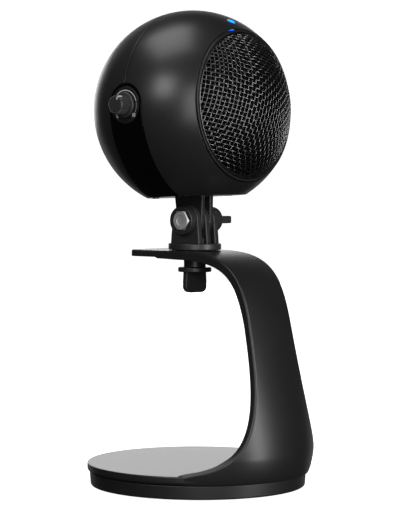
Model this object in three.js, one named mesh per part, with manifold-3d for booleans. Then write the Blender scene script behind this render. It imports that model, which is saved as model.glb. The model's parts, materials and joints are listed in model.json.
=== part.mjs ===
// Ball-shaped desktop microphone on a C-shaped stand.
// Millimetres, +Z up. The origin is on the desk under the middle of the round base.
// The grille looks along -Y and the gain knob is on the -X side.
// The whole head is drawn about the centre of its ball and then tilted about the tilt bolt.

import * as THREE from 'three';
import { mergeVertices } from 'three/addons/utils/BufferGeometryUtils.js';
import { ParametricGeometry } from 'three/addons/geometries/ParametricGeometry.js';
import Module from 'manifold-3d';

const wasm = await Module();
wasm.setup();

// ---------------------------------------------------------------- driving dimensions
const fit = 0.3; // clearance between separate pieces

// head
const ballDiameter = 90;
const shellWall = 2.2;
const facetDiameter = 44.8; // flat on the underside of the ball
const headTilt = 3.2; // degrees, grille looking slightly up
const seamY = 2.5; // parting plane of the two shells, behind the ball's centre
const openingDiameter = 68.2; // round hole for the grille
const bezelWidth = 1.2;
const bezelProud = 0.7;
const bezelFlange = 2.1; // inward ledge that carries the mesh
const flangeThickness = 2;
const meshDrop = 0.7; // top of the mesh below the ball's sphere
const meshThickness = 0.8;
const foamThickness = 4;
const plateSetback = 4; // from the bezel back to the capsule plate
const capsulePlateThickness = 2;
const capsuleDiameter = 16;
const capsuleLength = 7;
const capsulePortRadius = 3.2;
const ringWall = 1.4;
const ringLength = 5;

// glossy band with a control on each side
const bandWidth = 19;
const dialHeight = 1.5; // centre of the knobs above the ball's centre
const dialDiameter = 16.4;
const dialThickness = 1.6;
const padThickness = 2;
const knobDiameter = 8.4;
const knobLength = 6.6;
const skirtDiameter = 11.4;
const skirtThickness = 1.2;
const shaftDiameter = 6;
const shaftReach = 4.4; // shaft inside the knob
const bushingDiameter = 7;
const potSize = { x: 6.5, y: 9.5, z: 8.5 };

// electronics
const boardThickness = 1.6;
const boardMargin = 1;
const boardScrewCircle = { x: 15, y: 12 };
const usbSize = { x: 9, y: 7.4, z: 3.2 };
const usbX = -9;
const usbMouth = { x: 8.3, z: 2.5, deep: 6.4 };
const jackSize = { x: 6.2, y: 12, z: 5.6 };
const jackX = 9;
const jackNoseDiameter = 6;
const jackBore = 3.6;
const jackBoreDepth = 10;
const connectorInset = 1.6; // mouths below the ball's sphere
const ledAngle = 58; // degrees up from the grille's axis
const ledDiameter = 4;
const ledFlange = 1;
const ledBoardSize = { x: 8, y: 6, z: 1.2 };

// chassis and the two-finger foot
const chassisDiameter = 44;
const chassisThickness = 2;
const bossRadius = 2.6;
const postRadius = 2.8;
const floorScrewPlace = { x: 9, y: 14 };
const screw = { shank: 1.2, head: 2.2, headTop: 1.76, headThickness: 1.3, bite: 5 };
const footY = 1.5;
const footFlange = { x: 20, y: 18, z: 2.5 };
const pivotDrop = 10.7; // tilt axis below the flat
const fingerRadius = 7.2;
const footTopWidth = 16.6;
const footFinger = 2.4;

// three-finger swivel mount
const mountY = 2.2; // swivel axis behind the middle of the base
const mountFinger = 2.9;
const mountFingerRadius = 7.4;
const mountFootWidth = 16.8;
const discDiameter = 24;
const discThickness = 2.9;
const discNotch = 0.8;
const notchTurn = -39; // degrees that the pair of notches is turned about Z
const pivotRise = 10.4; // tilt axis above the disc
const ribHeight = 2.6;
const ribWidth = 0.9;
const hexBossDiameter = 12.8;
const hexBossDepth = 3;
const hexFlats = 8.4;
const hexHead = 2.6;
const boltDiameter = 5;
const tiltKnobDiameter = 11.8;
const tiltKnobLength = 6.3;
const tiltKnobChamfer = 1.5;
const boltShort = 2; // the bolt ends this far inside the knob
const insertFlats = 8;
const insertLength = 4;
const paddle = { width: 11, thickness: 3.4, length: 7.5, corner: 3 };
const handlePaddle = { width: 11.8, thickness: 3.2, length: 9.4, corner: 3.4 };
const paddleRootInset = 0.5; // a paddle is this much narrower each side at its root
const handleTurn = -17; // degrees that the tongue screw's paddle is turned about Z
const neckDiameter = 10;
const neckLength = 3.5;
const collarDiameter = 15.2;
const collarThickness = 2.1;
const studIntoDisc = 2;
const studIntoPaddle = 3;

// arm
const tongueTop = 106.8;
const tongueEnd = 28.5;
const tongueHalfWidth = 15;
const tongueWall = 3;
const tongueStep = 0.6; // rib under the tongue starts here with a small step
const tongueStepY = 13;
const tongueCorner = 2.5;
const bendStart = -2;
const bendWall = 4.6;
const bendHandle = 27.8; // pull of the Bezier curve at the start of the bend
const shoulder = { y: -42.45, z: 75 }; // where the bend has become the leg
const shoulderLean = 13.7; // degrees off the vertical
const shoulderHandle = 23.6;
const legHandle = 14.2;
const legWall = 3.2;
const legHalfWidth = 14.8;
const legReach = 53.4; // furthest forward, just above the base
const bulgeHeight = 18;
const tuckHandle = 2; // small, so that the leg turns under quickly
const tuckEnd = { inward: 1, up: 1.5 }; // pull where the leg runs into the plate
const flareWidth = 23.3; // the leg widens by this much on each side at the base
const flareFade = 17.3;
const toeWidth = 4.8; // its edges sweep out further just above the plate
const toeFade = 1.9;
const crownRadius = 48.5; // outer face of the leg at the base, flatter further up
const crownFade = 2.2;
const edgeBevel = 0.7;

// base
const plateDiameter = 100.5;
const plateThickness = 3.7;
const plateRound = 1.5;
const plateEdge = 0.5;
const weightTopDiameter = 98.4;
const weightBottomDiameter = 97.4;
const weightThickness = 6.2;
const padDiameter = 88;
const padHeight = 1.8;
const padProud = 0.6;
const baseScrewCircle = 56;
const baseScrewCount = 3;
const counterbore = 2.4;

// ---------------------------------------------------------------- derived places
const ballRadius = ballDiameter / 2;
const innerRadius = ballRadius - shellWall;
const facetZ = -Math.sqrt(ballRadius ** 2 - (facetDiameter / 2) ** 2);
const floorTop = facetZ + shellWall;
const openingRadius = openingDiameter / 2;
const rimY = -Math.sqrt(ballRadius ** 2 - openingRadius ** 2);
const bezelOuter = openingRadius - fit;
const bezelInner = bezelOuter - bezelWidth;
const meshRim = bezelInner - fit;
const meshOuterSphere = ballRadius - meshDrop;
const meshInnerSphere = meshOuterSphere - meshThickness;
const flangeFront = -Math.sqrt(meshInnerSphere ** 2 - meshRim ** 2) + fit;
const bezelBack = flangeFront + flangeThickness;
const foamRim = bezelInner - bezelFlange - fit;
const capsulePlateFront = bezelBack + plateSetback;
const capsulePlateBack = capsulePlateFront + capsulePlateThickness;
const dialFace = Math.sqrt(ballRadius ** 2 - (bandWidth / 2) ** 2);
const pocketFloor = dialFace - dialThickness - fit;
const padInside = pocketFloor - padThickness;
const boardTop = dialHeight - potSize.z / 2 - fit;
const boardBottom = boardTop - boardThickness;
const boardRadius = Math.min(Math.sqrt(innerRadius ** 2 - boardBottom ** 2) - boardMargin, padInside - fit);
const footFlangeBottom = floorTop + fit;
const chassisBottom = footFlangeBottom + footFlange.z + fit;
const chassisTop = chassisBottom + chassisThickness;
const pivotZ = facetZ - pivotDrop; // in the head's own frame
const fingerPitch = mountFinger + footFinger + 2 * fit;
const mountHalf = fingerPitch + mountFinger / 2;
const discTop = tongueTop + fit + discThickness;
const tiltAxisZ = discTop + pivotRise;
const plateBottom = padProud + weightThickness + fit;
const plateTop = plateBottom + plateThickness;
const big = 400; // cutting blocks are larger than anything here

// facets round a full turn, from the base down to the screws
const sides = { disc: 60, ring: 48, part: 32, peg: 20, screw: 12 };

// ---------------------------------------------------------------- finishes
function finish(color, roughness, metalness) {
  return new THREE.MeshStandardMaterial({ color, roughness, metalness });
}
const satinShell = finish(0x2a2a2b, 0.42, 0.1);
const satinArm = finish(0x2c2c2d, 0.38, 0.3);
const glossBlack = finish(0x050505, 0.08, 0);
const mattPlastic = finish(0x1b1b1c, 0.6, 0);
const dialPlastic = finish(0x1a1a1a, 0.4, 0);
const knobPlastic = finish(0x3a3a3b, 0.4, 0.2);
const wireSteel = finish(0x4a4a4c, 0.35, 0.9);
const foamGrey = finish(0x101010, 0.95, 0);
const rubberBlack = finish(0x141414, 0.85, 0);
const brightSteel = finish(0xd9dadb, 0.22, 1);
const brass = finish(0xb39348, 0.35, 1);
const nickel = finish(0xb9bbbd, 0.3, 1);
const boardGreen = finish(0x14452c, 0.5, 0);
const ledBlue = finish(0x1a7dff, 0.2, 0);
const ironBlack = finish(0x1c1c1d, 0.5, 0.6);

// ---------------------------------------------------------------- solids
function signedVolume(positions, triangles) {
  const corner = [new THREE.Vector3(), new THREE.Vector3(), new THREE.Vector3()];
  let total = 0;
  for (let i = 0; i < triangles.length; i += 3) {
    corner.forEach((point, k) => point.fromArray(positions, triangles[i + k] * 3));
    total += corner[0].dot(corner[1].clone().cross(corner[2])) / 6;
  }
  return total;
}

// A closed three.js geometry becomes a solid with its faces pointing out.
function solid(geometry) {
  const bare = geometry.clone();
  bare.deleteAttribute('normal');
  bare.deleteAttribute('uv');
  const merged = mergeVertices(bare, 1e-4);
  const positions = new Float32Array(merged.attributes.position.array);
  const triangles = [];
  const index = merged.index.array;
  for (let i = 0; i < index.length; i += 3) {
    const [a, b, c] = [index[i], index[i + 1], index[i + 2]];
    if (a !== b && b !== c && c !== a) triangles.push(a, b, c);
  }
  if (signedVolume(positions, triangles) < 0) triangles.reverse();
  return new wasm.Manifold(
    new wasm.Mesh({ numProp: 3, vertProperties: positions, triVerts: new Uint32Array(triangles) }),
  );
}

function mesh(name, body, material, place = new THREE.Vector3()) {
  const data = body.getMesh();
  const geometry = new THREE.BufferGeometry();
  geometry.setAttribute('position', new THREE.BufferAttribute(new Float32Array(data.vertProperties), 3));
  geometry.setIndex(new THREE.BufferAttribute(new Uint32Array(data.triVerts), 1));
  geometry.computeVertexNormals();
  const result = new THREE.Mesh(geometry, material);
  result.name = name;
  result.position.copy(place);
  return result;
}

function block(from, to) {
  const size = new THREE.Vector3().subVectors(to, from);
  const middle = new THREE.Vector3().addVectors(from, to).multiplyScalar(0.5);
  return solid(new THREE.BoxGeometry(size.x, size.y, size.z).translate(middle.x, middle.y, middle.z));
}

function vec(x, y, z) {
  return new THREE.Vector3(x, y, z);
}

// Turns a geometry drawn along Y so that it runs along the named axis.
function along(geometry, axis) {
  if (axis === 'x') return geometry.rotateZ(-Math.PI / 2);
  if (axis === 'z') return geometry.rotateX(Math.PI / 2);
  return geometry;
}

// A round bar between two stations on an axis through (0, 0, 0) moved by "at".
function bar(axis, radius, from, to, at = vec(0, 0, 0), count = sides.part) {
  const geometry = new THREE.CylinderGeometry(radius, radius, to - from, count);
  geometry.translate(0, (from + to) / 2, 0);
  return solid(along(geometry, axis).translate(at.x, at.y, at.z));
}

// A turned shape: the profile's points are [radius, station on the axis].
function turned(axis, profile, count = sides.ring) {
  const points = profile.map(([radius, station]) => new THREE.Vector2(radius, station));
  return solid(along(new THREE.LatheGeometry(points, count), axis));
}

// A flat outline extruded along X, its points given as (y, z).
function slabAlongX(shape, from, to, curveSegments = 12) {
  const settings = { depth: to - from, bevelEnabled: false, curveSegments };
  const geometry = new THREE.ExtrudeGeometry(shape, settings);
  geometry.rotateX(Math.PI / 2).rotateZ(Math.PI / 2);
  return solid(geometry.translate(from, 0, 0));
}

function hexBar(flats, from, to, at) {
  const corner = flats / Math.sqrt(3);
  const geometry = new THREE.CylinderGeometry(corner, corner, to - from, 6);
  geometry.translate(0, (from + to) / 2, 0).rotateZ(-Math.PI / 2).rotateX(Math.PI / 2);
  return solid(geometry.translate(at.x, at.y, at.z));
}

function ball(radius) {
  return solid(new THREE.SphereGeometry(radius, 44, 24).rotateX(Math.PI / 2));
}

// Half-space blocks.
function above(z) {
  return block(vec(-big, -big, z), vec(big, big, big));
}
function inFrontOf(y) {
  return block(vec(-big, -big, -big), vec(big, y, big));
}
function behind(y) {
  return block(vec(-big, y, -big), vec(big, big, big));
}

// ---------------------------------------------------------------- head: shells and band
// Wall of the ball with its flat underside.
function ballWall() {
  const outside = ball(ballRadius).intersect(above(facetZ));
  const inside = ball(innerRadius).intersect(above(floorTop));
  return outside.subtract(inside);
}

// Side view of the band: a strip with a round top about the dial.
function bandOutline(halfWidth) {
  const shape = new THREE.Shape();
  shape.moveTo(seamY - halfWidth, -ballRadius - 1);
  shape.lineTo(seamY - halfWidth, dialHeight);
  shape.absarc(seamY, dialHeight, halfWidth, Math.PI, 0, true);
  shape.lineTo(seamY + halfWidth, -ballRadius - 1);
  return slabAlongX(shape, -ballRadius - 1, ballRadius + 1, 14);
}

function floorScrewSpots() {
  const spots = [];
  for (const side of [-1, 1]) {
    for (const end of [-1, 1]) spots.push([side * floorScrewPlace.x, seamY + end * floorScrewPlace.y]);
  }
  return spots;
}

function floorScrewHoles() {
  const holes = floorScrewSpots().map(([x, y]) => {
    const shank = bar('z', screw.shank + fit, facetZ - 1, floorTop + 1, vec(x, y, 0), sides.screw);
    const seat = facetZ + screw.headThickness;
    const head = bar('z', screw.head + fit, facetZ - 1, seat, vec(x, y, 0), sides.screw);
    return shank.add(head);
  });
  return holes[0].add(holes[1]).add(holes[2]).add(holes[3]);
}

function ledDirection() {
  const angle = THREE.MathUtils.degToRad(ledAngle);
  return vec(0, -Math.cos(angle), Math.sin(angle));
}

// Turns something drawn along Z to stand on the ball at the light.
function towardsLed(body) {
  return body.rotate([90 - ledAngle, 0, 0]);
}

function frontShell() {
  const opening = bar('y', openingRadius, -ballRadius - 1, -1, undefined, sides.ring);
  const ledHole = bar('z', ledDiameter / 2 + fit / 2, innerRadius - 4, ballRadius + 1, undefined, sides.peg);
  return ballWall()
    .intersect(inFrontOf(seamY - fit / 2))
    .subtract(bandOutline(bandWidth / 2 + fit))
    .subtract(opening)
    .subtract(towardsLed(ledHole))
    .subtract(floorScrewHoles());
}

function connectorHoles() {
  const middle = boardTop + fit + usbSize.z / 2;
  const grow = usbSize.x / 2 + fit;
  const tall = usbSize.z / 2 + fit;
  const usb = block(vec(usbX - grow, 0, middle - tall), vec(usbX + grow, ballRadius + 1, middle + tall));
  const jackAt = vec(jackX, 0, boardTop + fit + jackSize.z / 2);
  const jack = bar('y', jackNoseDiameter / 2 + fit, 0, ballRadius + 1, jackAt, sides.peg);
  return usb.add(jack);
}

function rearShell() {
  return ballWall()
    .intersect(behind(seamY + fit / 2))
    .subtract(bandOutline(bandWidth / 2 + fit))
    .subtract(connectorHoles())
    .subtract(floorScrewHoles());
}

function sideBand() {
  let band = ballWall().intersect(bandOutline(bandWidth / 2));
  const at = vec(0, seamY, dialHeight);
  for (const side of [-1, 1]) {
    const span = (a, b) => [Math.min(side * a, side * b), Math.max(side * a, side * b)];
    const pad = bar('x', bandWidth / 2 - fit, ...span(padInside, dialFace - fit), at);
    const pocket = bar('x', dialDiameter / 2 + fit, ...span(pocketFloor, ballRadius + 1), at);
    const through = span(padInside - 1, ballRadius + 1);
    const bushing = bar('x', bushingDiameter / 2 + fit, ...through, at, sides.peg);
    band = band.add(pad).subtract(pocket).subtract(bushing);
  }
  const slotX = fingerPitch / 2 + footFinger / 2 + fit;
  const slotY = footTopWidth / 2 + fit;
  return band.subtract(
    block(vec(-slotX, footY - slotY, facetZ - 1), vec(slotX, footY + slotY, floorTop + 1)),
  );
}

// ---------------------------------------------------------------- head: grille and capsule
function grilleBezel() {
  const front = rimY - bezelProud;
  const ledge = bezelInner - bezelFlange;
  return turned('y', [
    [bezelInner, front],
    [bezelOuter, front],
    [bezelOuter, bezelBack],
    [ledge, bezelBack],
    [ledge, flangeFront],
    [bezelInner, flangeFront],
    [bezelInner, front],
  ]);
}

// Arc of a dome in profile, from the axis out to a rim radius.
function domeArc(sphere, rim, steps) {
  const last = Math.asin(rim / sphere);
  return Array.from({ length: steps + 1 }, (unused, i) => {
    const angle = (last * i) / steps;
    return [sphere * Math.sin(angle), -sphere * Math.cos(angle)];
  });
}

function dome(outerSphere, innerSphere, rim, steps, sides) {
  const outer = domeArc(outerSphere, rim, steps);
  const inner = domeArc(innerSphere, rim, steps).reverse();
  return turned('y', [...outer, ...inner], sides);
}

function capsulePlate() {
  const radius = Math.sqrt(innerRadius ** 2 - capsulePlateFront ** 2) - 2 * fit;
  const disc = bar('y', radius, capsulePlateFront, capsulePlateBack, undefined, sides.ring);
  const hole = bar('y', capsuleDiameter / 2 + ringWall + 2 * fit, -big, 0);
  const notchHalf = ledBoardSize.x / 2 + 1;
  const notchBottom = (ledDirection().z * (innerRadius - 4 - ledBoardSize.z)) - ledBoardSize.y;
  const notch = block(vec(-notchHalf, -big, notchBottom), vec(notchHalf, 0, big));
  return disc.subtract(hole).subtract(notch);
}

function capsuleRing() {
  const middle = (capsulePlateFront + capsulePlateBack) / 2;
  const inner = capsuleDiameter / 2 + fit;
  const outer = inner + ringWall;
  return turned('y', [
    [inner, middle - ringLength / 2],
    [outer, middle - ringLength / 2],
    [outer, middle + ringLength / 2],
    [inner, middle + ringLength / 2],
    [inner, middle - ringLength / 2],
  ], sides.part);
}

function micCapsule() {
  const middle = (capsulePlateFront + capsulePlateBack) / 2;
  const can = bar('y', capsuleDiameter / 2, middle - capsuleLength / 2, middle + capsuleLength / 2);
  const portFloor = middle - capsuleLength / 2 + ringWall / 2;
  const port = bar('y', capsulePortRadius, -big, portFloor, undefined, sides.peg);
  return can.subtract(port);
}

// ---------------------------------------------------------------- head: controls
// Everything for a control is drawn on the +X side; side -1 mirrors it.
function onSide(body, side) {
  return side < 0 ? body.mirror([1, 0, 0]) : body;
}

function dialPlate(side) {
  const at = vec(0, seamY, dialHeight);
  const disc = bar('x', dialDiameter / 2, dialFace - dialThickness, dialFace, at);
  return onSide(disc.subtract(bar('x', bushingDiameter / 2 + fit, 0, big, at, sides.peg)), side);
}

function pot(side) {
  const at = vec(0, seamY, dialHeight);
  const front = padInside - fit;
  const body = block(
    vec(front - potSize.x, seamY - potSize.y / 2, dialHeight - potSize.z / 2),
    vec(front, seamY + potSize.y / 2, dialHeight + potSize.z / 2),
  );
  const bushing = bar('x', bushingDiameter / 2, front - 1, dialFace - fit, at, sides.peg);
  const shaft = bar('x', shaftDiameter / 2, front - 1, dialFace + fit + shaftReach, at, sides.peg);
  return onSide(body.add(bushing).add(shaft), side);
}

function knob(side) {
  const base = dialFace + fit;
  const profile = [
    [shaftDiameter / 2 + fit, base],
    [skirtDiameter / 2, base],
    [skirtDiameter / 2, base + skirtThickness],
    [knobDiameter / 2, base + skirtThickness],
    [knobDiameter / 2, base + knobLength - edgeBevel],
    [knobDiameter / 2 - edgeBevel, base + knobLength],
    [0, base + knobLength],
    [0, base + shaftReach + fit],
    [shaftDiameter / 2 + fit, base + shaftReach + fit],
    [shaftDiameter / 2 + fit, base],
  ];
  return onSide(turned('x', profile, sides.part).translate([0, seamY, dialHeight]), side);
}

// ---------------------------------------------------------------- head: electronics and light
function boardScrewSpots() {
  const spots = [];
  for (const side of [-1, 1]) {
    for (const end of [-1, 1]) spots.push([side * boardScrewCircle.x, seamY + end * boardScrewCircle.y]);
  }
  return spots;
}

function mainBoard() {
  let board = bar('z', boardRadius, boardBottom, boardTop, undefined, sides.ring);
  board = board.intersect(behind(capsulePlateBack + boardMargin + ringLength / 2));
  for (const [x, y] of boardScrewSpots()) {
    const at = vec(x, y, 0);
    board = board.subtract(bar('z', screw.shank + fit, boardBottom - 1, boardTop + 1, at, sides.screw));
  }
  return board;
}

function usbSocket() {
  const mouthY = Math.sqrt(ballRadius ** 2 - usbX ** 2) - connectorInset;
  const bottom = boardTop + fit;
  const middle = bottom + usbSize.z / 2;
  const body = block(
    vec(usbX - usbSize.x / 2, mouthY - usbSize.y, bottom),
    vec(usbX + usbSize.x / 2, mouthY, bottom + usbSize.z),
  );
  const mouth = block(
    vec(usbX - usbMouth.x / 2, mouthY - usbMouth.deep, middle - usbMouth.z / 2),
    vec(usbX + usbMouth.x / 2, mouthY + 1, middle + usbMouth.z / 2),
  );
  return body.subtract(mouth);
}

function headphoneJack() {
  const mouthY = Math.sqrt(ballRadius ** 2 - jackX ** 2) - connectorInset;
  const bodyFront = Math.sqrt(innerRadius ** 2 - (jackX + jackSize.x / 2) ** 2 - jackSize.z ** 2) - 2 * fit;
  const bottom = boardTop + fit;
  const at = vec(jackX, 0, bottom + jackSize.z / 2);
  const body = block(
    vec(jackX - jackSize.x / 2, bodyFront - jackSize.y, bottom),
    vec(jackX + jackSize.x / 2, bodyFront, bottom + jackSize.z),
  );
  const nose = bar('y', jackNoseDiameter / 2, bodyFront - 2, mouthY, at, sides.peg);
  const bore = bar('y', jackBore / 2, mouthY - jackBoreDepth, mouthY + 1, at, sides.screw);
  return body.add(nose.intersect(above(bottom))).subtract(bore);
}

function ledLens() {
  const radius = ledDiameter / 2;
  const flangeTop = innerRadius - fit;
  const profile = [
    [0, flangeTop - 2 * ledFlange],
    [radius + ledFlange, flangeTop - 2 * ledFlange],
    [radius + ledFlange, flangeTop - ledFlange],
    [radius, flangeTop - ledFlange],
    [radius, ballRadius - fit],
    [radius - fit, ballRadius],
    [0, ballRadius + fit / 2],
  ];
  return towardsLed(turned('z', profile, sides.peg));
}

function ledBoard() {
  const top = innerRadius - 2 * ledFlange - 2 * fit;
  const half = vec(ledBoardSize.x / 2, ledBoardSize.y / 2, 0);
  return towardsLed(block(vec(-half.x, -half.y, top - ledBoardSize.z), vec(half.x, half.y, top)));
}

// ---------------------------------------------------------------- head: chassis, screws, foot
function chassis() {
  let frame = bar('z', chassisDiameter / 2, chassisBottom, chassisTop, vec(0, seamY, 0));
  for (const [x, y] of floorScrewSpots()) {
    frame = frame.add(bar('z', bossRadius, floorTop + fit, chassisBottom + 1, vec(x, y, 0), sides.screw));
  }
  for (const [x, y] of boardScrewSpots()) {
    frame = frame.add(bar('z', postRadius, chassisTop - 1, boardBottom - fit, vec(x, y, 0), sides.screw));
  }
  for (const [x, y] of floorScrewSpots()) {
    const top = facetZ + screw.headThickness + screw.bite + fit;
    frame = frame.subtract(bar('z', screw.shank + fit, facetZ, top, vec(x, y, 0), sides.screw));
  }
  for (const [x, y] of boardScrewSpots()) {
    const bottom = boardTop - screw.bite - fit;
    frame = frame.subtract(bar('z', screw.shank + fit, bottom, boardTop, vec(x, y, 0), sides.screw));
  }
  return frame;
}

// Pan-head screw, its head's seat at z = 0 and its shank going up.
function upwardScrew() {
  return turned('z', [
    [0, -screw.headThickness],
    [screw.headTop, -screw.headThickness],
    [screw.head, -screw.headThickness / 2],
    [screw.head, 0],
    [screw.shank, 0],
    [screw.shank, screw.bite],
    [0, screw.bite],
  ], sides.screw);
}

function floorScrew([x, y]) {
  return upwardScrew().translate([x, y, facetZ + screw.headThickness - fit]);
}

function boardScrew([x, y]) {
  return upwardScrew().rotate([180, 0, 0]).translate([x, y, boardTop + fit]);
}

// Side view of a mounting finger: round about the pivot, wider where it is rooted.
function fingerShape(radius, rootHalfWidth, rootOffset) {
  const shape = new THREE.Shape();
  shape.moveTo(-rootHalfWidth, rootOffset);
  const up = rootOffset > 0;
  shape.lineTo(-radius, 0);
  shape.absarc(0, 0, radius, Math.PI, 0, !up);
  shape.lineTo(rootHalfWidth, rootOffset);
  return shape;
}

function foot() {
  const root = footFlangeBottom + 1 - pivotZ;
  let body = block(
    vec(-footFlange.x / 2, -footFlange.y / 2, footFlangeBottom - pivotZ),
    vec(footFlange.x / 2, footFlange.y / 2, footFlangeBottom + footFlange.z - pivotZ),
  );
  for (const side of [-1, 1]) {
    const middle = (side * fingerPitch) / 2;
    const outline = fingerShape(fingerRadius, footTopWidth / 2, root);
    body = body.add(slabAlongX(outline, middle - footFinger / 2, middle + footFinger / 2, 12));
  }
  return body.subtract(bar('x', boltDiameter / 2 + fit, -big, big, undefined, sides.peg))
    .translate([0, footY, pivotZ]);
}

// ---------------------------------------------------------------- swivel mount and its screws
// Drawn about the tilt axis.
function swivelMount() {
  const disc = turned('z', [
    [0, -pivotRise - discThickness],
    [discDiameter / 2 - fit, -pivotRise - discThickness],
    [discDiameter / 2, -pivotRise - discThickness + fit],
    [discDiameter / 2, -pivotRise - fit],
    [discDiameter / 2 - fit, -pivotRise],
    [0, -pivotRise],
  ]);
  let body = disc;
  for (const place of [-1, 0, 1]) {
    const middle = place * fingerPitch;
    const outline = fingerShape(mountFingerRadius, mountFootWidth / 2, -pivotRise - 1);
    body = body.add(slabAlongX(outline, middle - mountFinger / 2, middle + mountFinger / 2, 12));
  }
  const ribX = -fingerPitch / 2;
  body = body.add(block(
    vec(ribX - ribWidth / 2, -mountFootWidth / 2 + 1, -pivotRise - 1),
    vec(ribX + ribWidth / 2, mountFootWidth / 2 - 1, -pivotRise + ribHeight),
  ));
  body = body.add(bar('x', hexBossDiameter / 2, -mountHalf - hexBossDepth, -mountHalf + 1));
  const pocket = -mountHalf - hexBossDepth + hexHead;
  body = body.subtract(hexBar(hexFlats + 2 * fit, -big, pocket, vec(0, 0, 0)));
  body = body.subtract(bar('x', boltDiameter / 2 + fit, -big, big, undefined, sides.peg));
  const studHole = -pivotRise - discThickness + studIntoDisc + fit;
  body = body.subtract(bar('z', boltDiameter / 2 + fit, -big, studHole, undefined, sides.peg));
  for (const side of [-1, 1]) {
    const notch = block(
      vec(-discNotch, discDiameter / 2 - discNotch, -big),
      vec(discNotch, discDiameter / 2 + 1, -pivotRise + 1),
    );
    body = body.subtract(notch.rotate([0, 0, side * 90 + notchTurn]));
  }
  return body;
}

function tiltBolt() {
  const face = -mountHalf - hexBossDepth - fit / 2;
  const seat = face + hexHead - fit / 2;
  const end = mountHalf + fit + tiltKnobLength - boltShort;
  return hexBar(hexFlats, face, seat, vec(0, 0, 0))
    .add(bar('x', boltDiameter / 2, seat - 1, end, undefined, sides.peg));
}

// Rounded plate standing along +Z from z = 0, wide along X.
function paddlePlate(size) {
  const half = size.width / 2;
  const shape = new THREE.Shape();
  shape.moveTo(-half + paddleRootInset, -1);
  shape.lineTo(-half, size.length - size.corner);
  shape.absarc(-half + size.corner, size.length - size.corner, size.corner, Math.PI, Math.PI / 2, true);
  shape.absarc(half - size.corner, size.length - size.corner, size.corner, Math.PI / 2, 0, true);
  shape.lineTo(half - paddleRootInset, -1);
  const settings = { depth: size.thickness, bevelEnabled: false, curveSegments: 6 };
  const geometry = new THREE.ExtrudeGeometry(shape, settings).translate(0, 0, -size.thickness / 2);
  return solid(geometry.rotateX(Math.PI / 2));
}

// Knob with a flat paddle, drawn about the tilt axis.
function tiltKnob() {
  const start = mountHalf + fit;
  const end = start + tiltKnobLength;
  const cap = turned('x', [
    [0, start],
    [tiltKnobDiameter / 2, start],
    [tiltKnobDiameter / 2, end - tiltKnobChamfer],
    [tiltKnobDiameter / 2 - tiltKnobChamfer, end],
    [0, end],
  ], sides.part);
  const grip = paddlePlate(paddle).rotate([0, 90, 0]).rotate([90, 0, 0]).translate([end, 0, 0]);
  return cap.add(grip)
    .subtract(hexBar(insertFlats + 2 * fit, 0, start + insertLength + 2 * fit, vec(0, 0, 0)))
    .subtract(bar('x', boltDiameter / 2 + fit, 0, end - boltShort + fit, undefined, sides.peg));
}

function tiltInsert() {
  const start = mountHalf + 2 * fit;
  return hexBar(insertFlats, start, start + insertLength, vec(0, 0, 0))
    .subtract(bar('x', boltDiameter / 2 + fit, 0, big, undefined, sides.peg));
}

// Heights of the screw under the tongue, measured in the arm's frame.
const tongueUnderMount = tongueTop - tongueWall - tongueStep - fit;
const neckBottom = tongueUnderMount - fit - neckLength;
const collarBottom = neckBottom - collarThickness;

function tongueHandle() {
  const body = turned('z', [
    [0, collarBottom],
    [collarDiameter / 2 - fit, collarBottom],
    [collarDiameter / 2, collarBottom + fit],
    [collarDiameter / 2, neckBottom],
    [neckDiameter / 2, neckBottom],
    [neckDiameter / 2, tongueUnderMount - fit],
    [0, tongueUnderMount - fit],
  ], sides.part);
  const grip = paddlePlate(handlePaddle).rotate([180, 0, handleTurn]).translate([0, 0, collarBottom]);
  const bore = bar('z', boltDiameter / 2 + fit, collarBottom - studIntoPaddle, big, undefined, sides.peg);
  return body.add(grip.subtract(bore)).subtract(bore);
}

function tongueStud() {
  const bottom = collarBottom - studIntoPaddle + fit;
  const top = tongueTop + fit + studIntoDisc;
  return bar('z', boltDiameter / 2, bottom, top, undefined, sides.peg);
}

// ---------------------------------------------------------------- arm
// Outer middle line of the arm in side view, as Bezier curves of (y, z).
function armLine() {
  const lean = THREE.MathUtils.degToRad(shoulderLean);
  const point = (y, z) => new THREE.Vector2(y, z);
  const down = point(-Math.sin(lean), -Math.cos(lean));
  const start = point(bendStart, tongueTop);
  const knee = point(shoulder.y, shoulder.z);
  const bulge = point(-legReach, bulgeHeight);
  const tuck = point(-plateDiameter / 2 + 0.3, plateBottom - 1);
  return {
    tongue: new THREE.LineCurve(point(tongueEnd, tongueTop), start),
    bend: new THREE.CubicBezierCurve(
      start,
      point(bendStart - bendHandle, tongueTop),
      knee.clone().addScaledVector(down, -shoulderHandle),
      knee,
    ),
    leg: new THREE.CubicBezierCurve(
      knee, knee.clone().addScaledVector(down, legHandle), point(-legReach, bulgeHeight + legHandle), bulge,
    ),
    tuck: new THREE.CubicBezierCurve(
      bulge,
      point(-legReach, bulgeHeight - tuckHandle),
      point(-legReach + tuckEnd.inward, plateBottom + tuckEnd.up),
      tuck,
    ),
  };
}

function armHalfWidth(part, t, z) {
  if (part === 'tongue') {
    const corner = Math.max(0, tongueCorner - t * (tongueEnd - bendStart));
    const inset = tongueCorner - Math.sqrt(tongueCorner ** 2 - corner ** 2);
    return tongueHalfWidth - inset;
  }
  const grown = part === 'bend' ? t : 1;
  const rise = Math.max(z, plateTop) - plateTop;
  const flare = flareWidth * Math.exp(-rise / flareFade) + toeWidth * Math.exp(-rise / toeFade);
  return tongueHalfWidth + (legHalfWidth - tongueHalfWidth) * grown + flare * grown;
}

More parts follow.
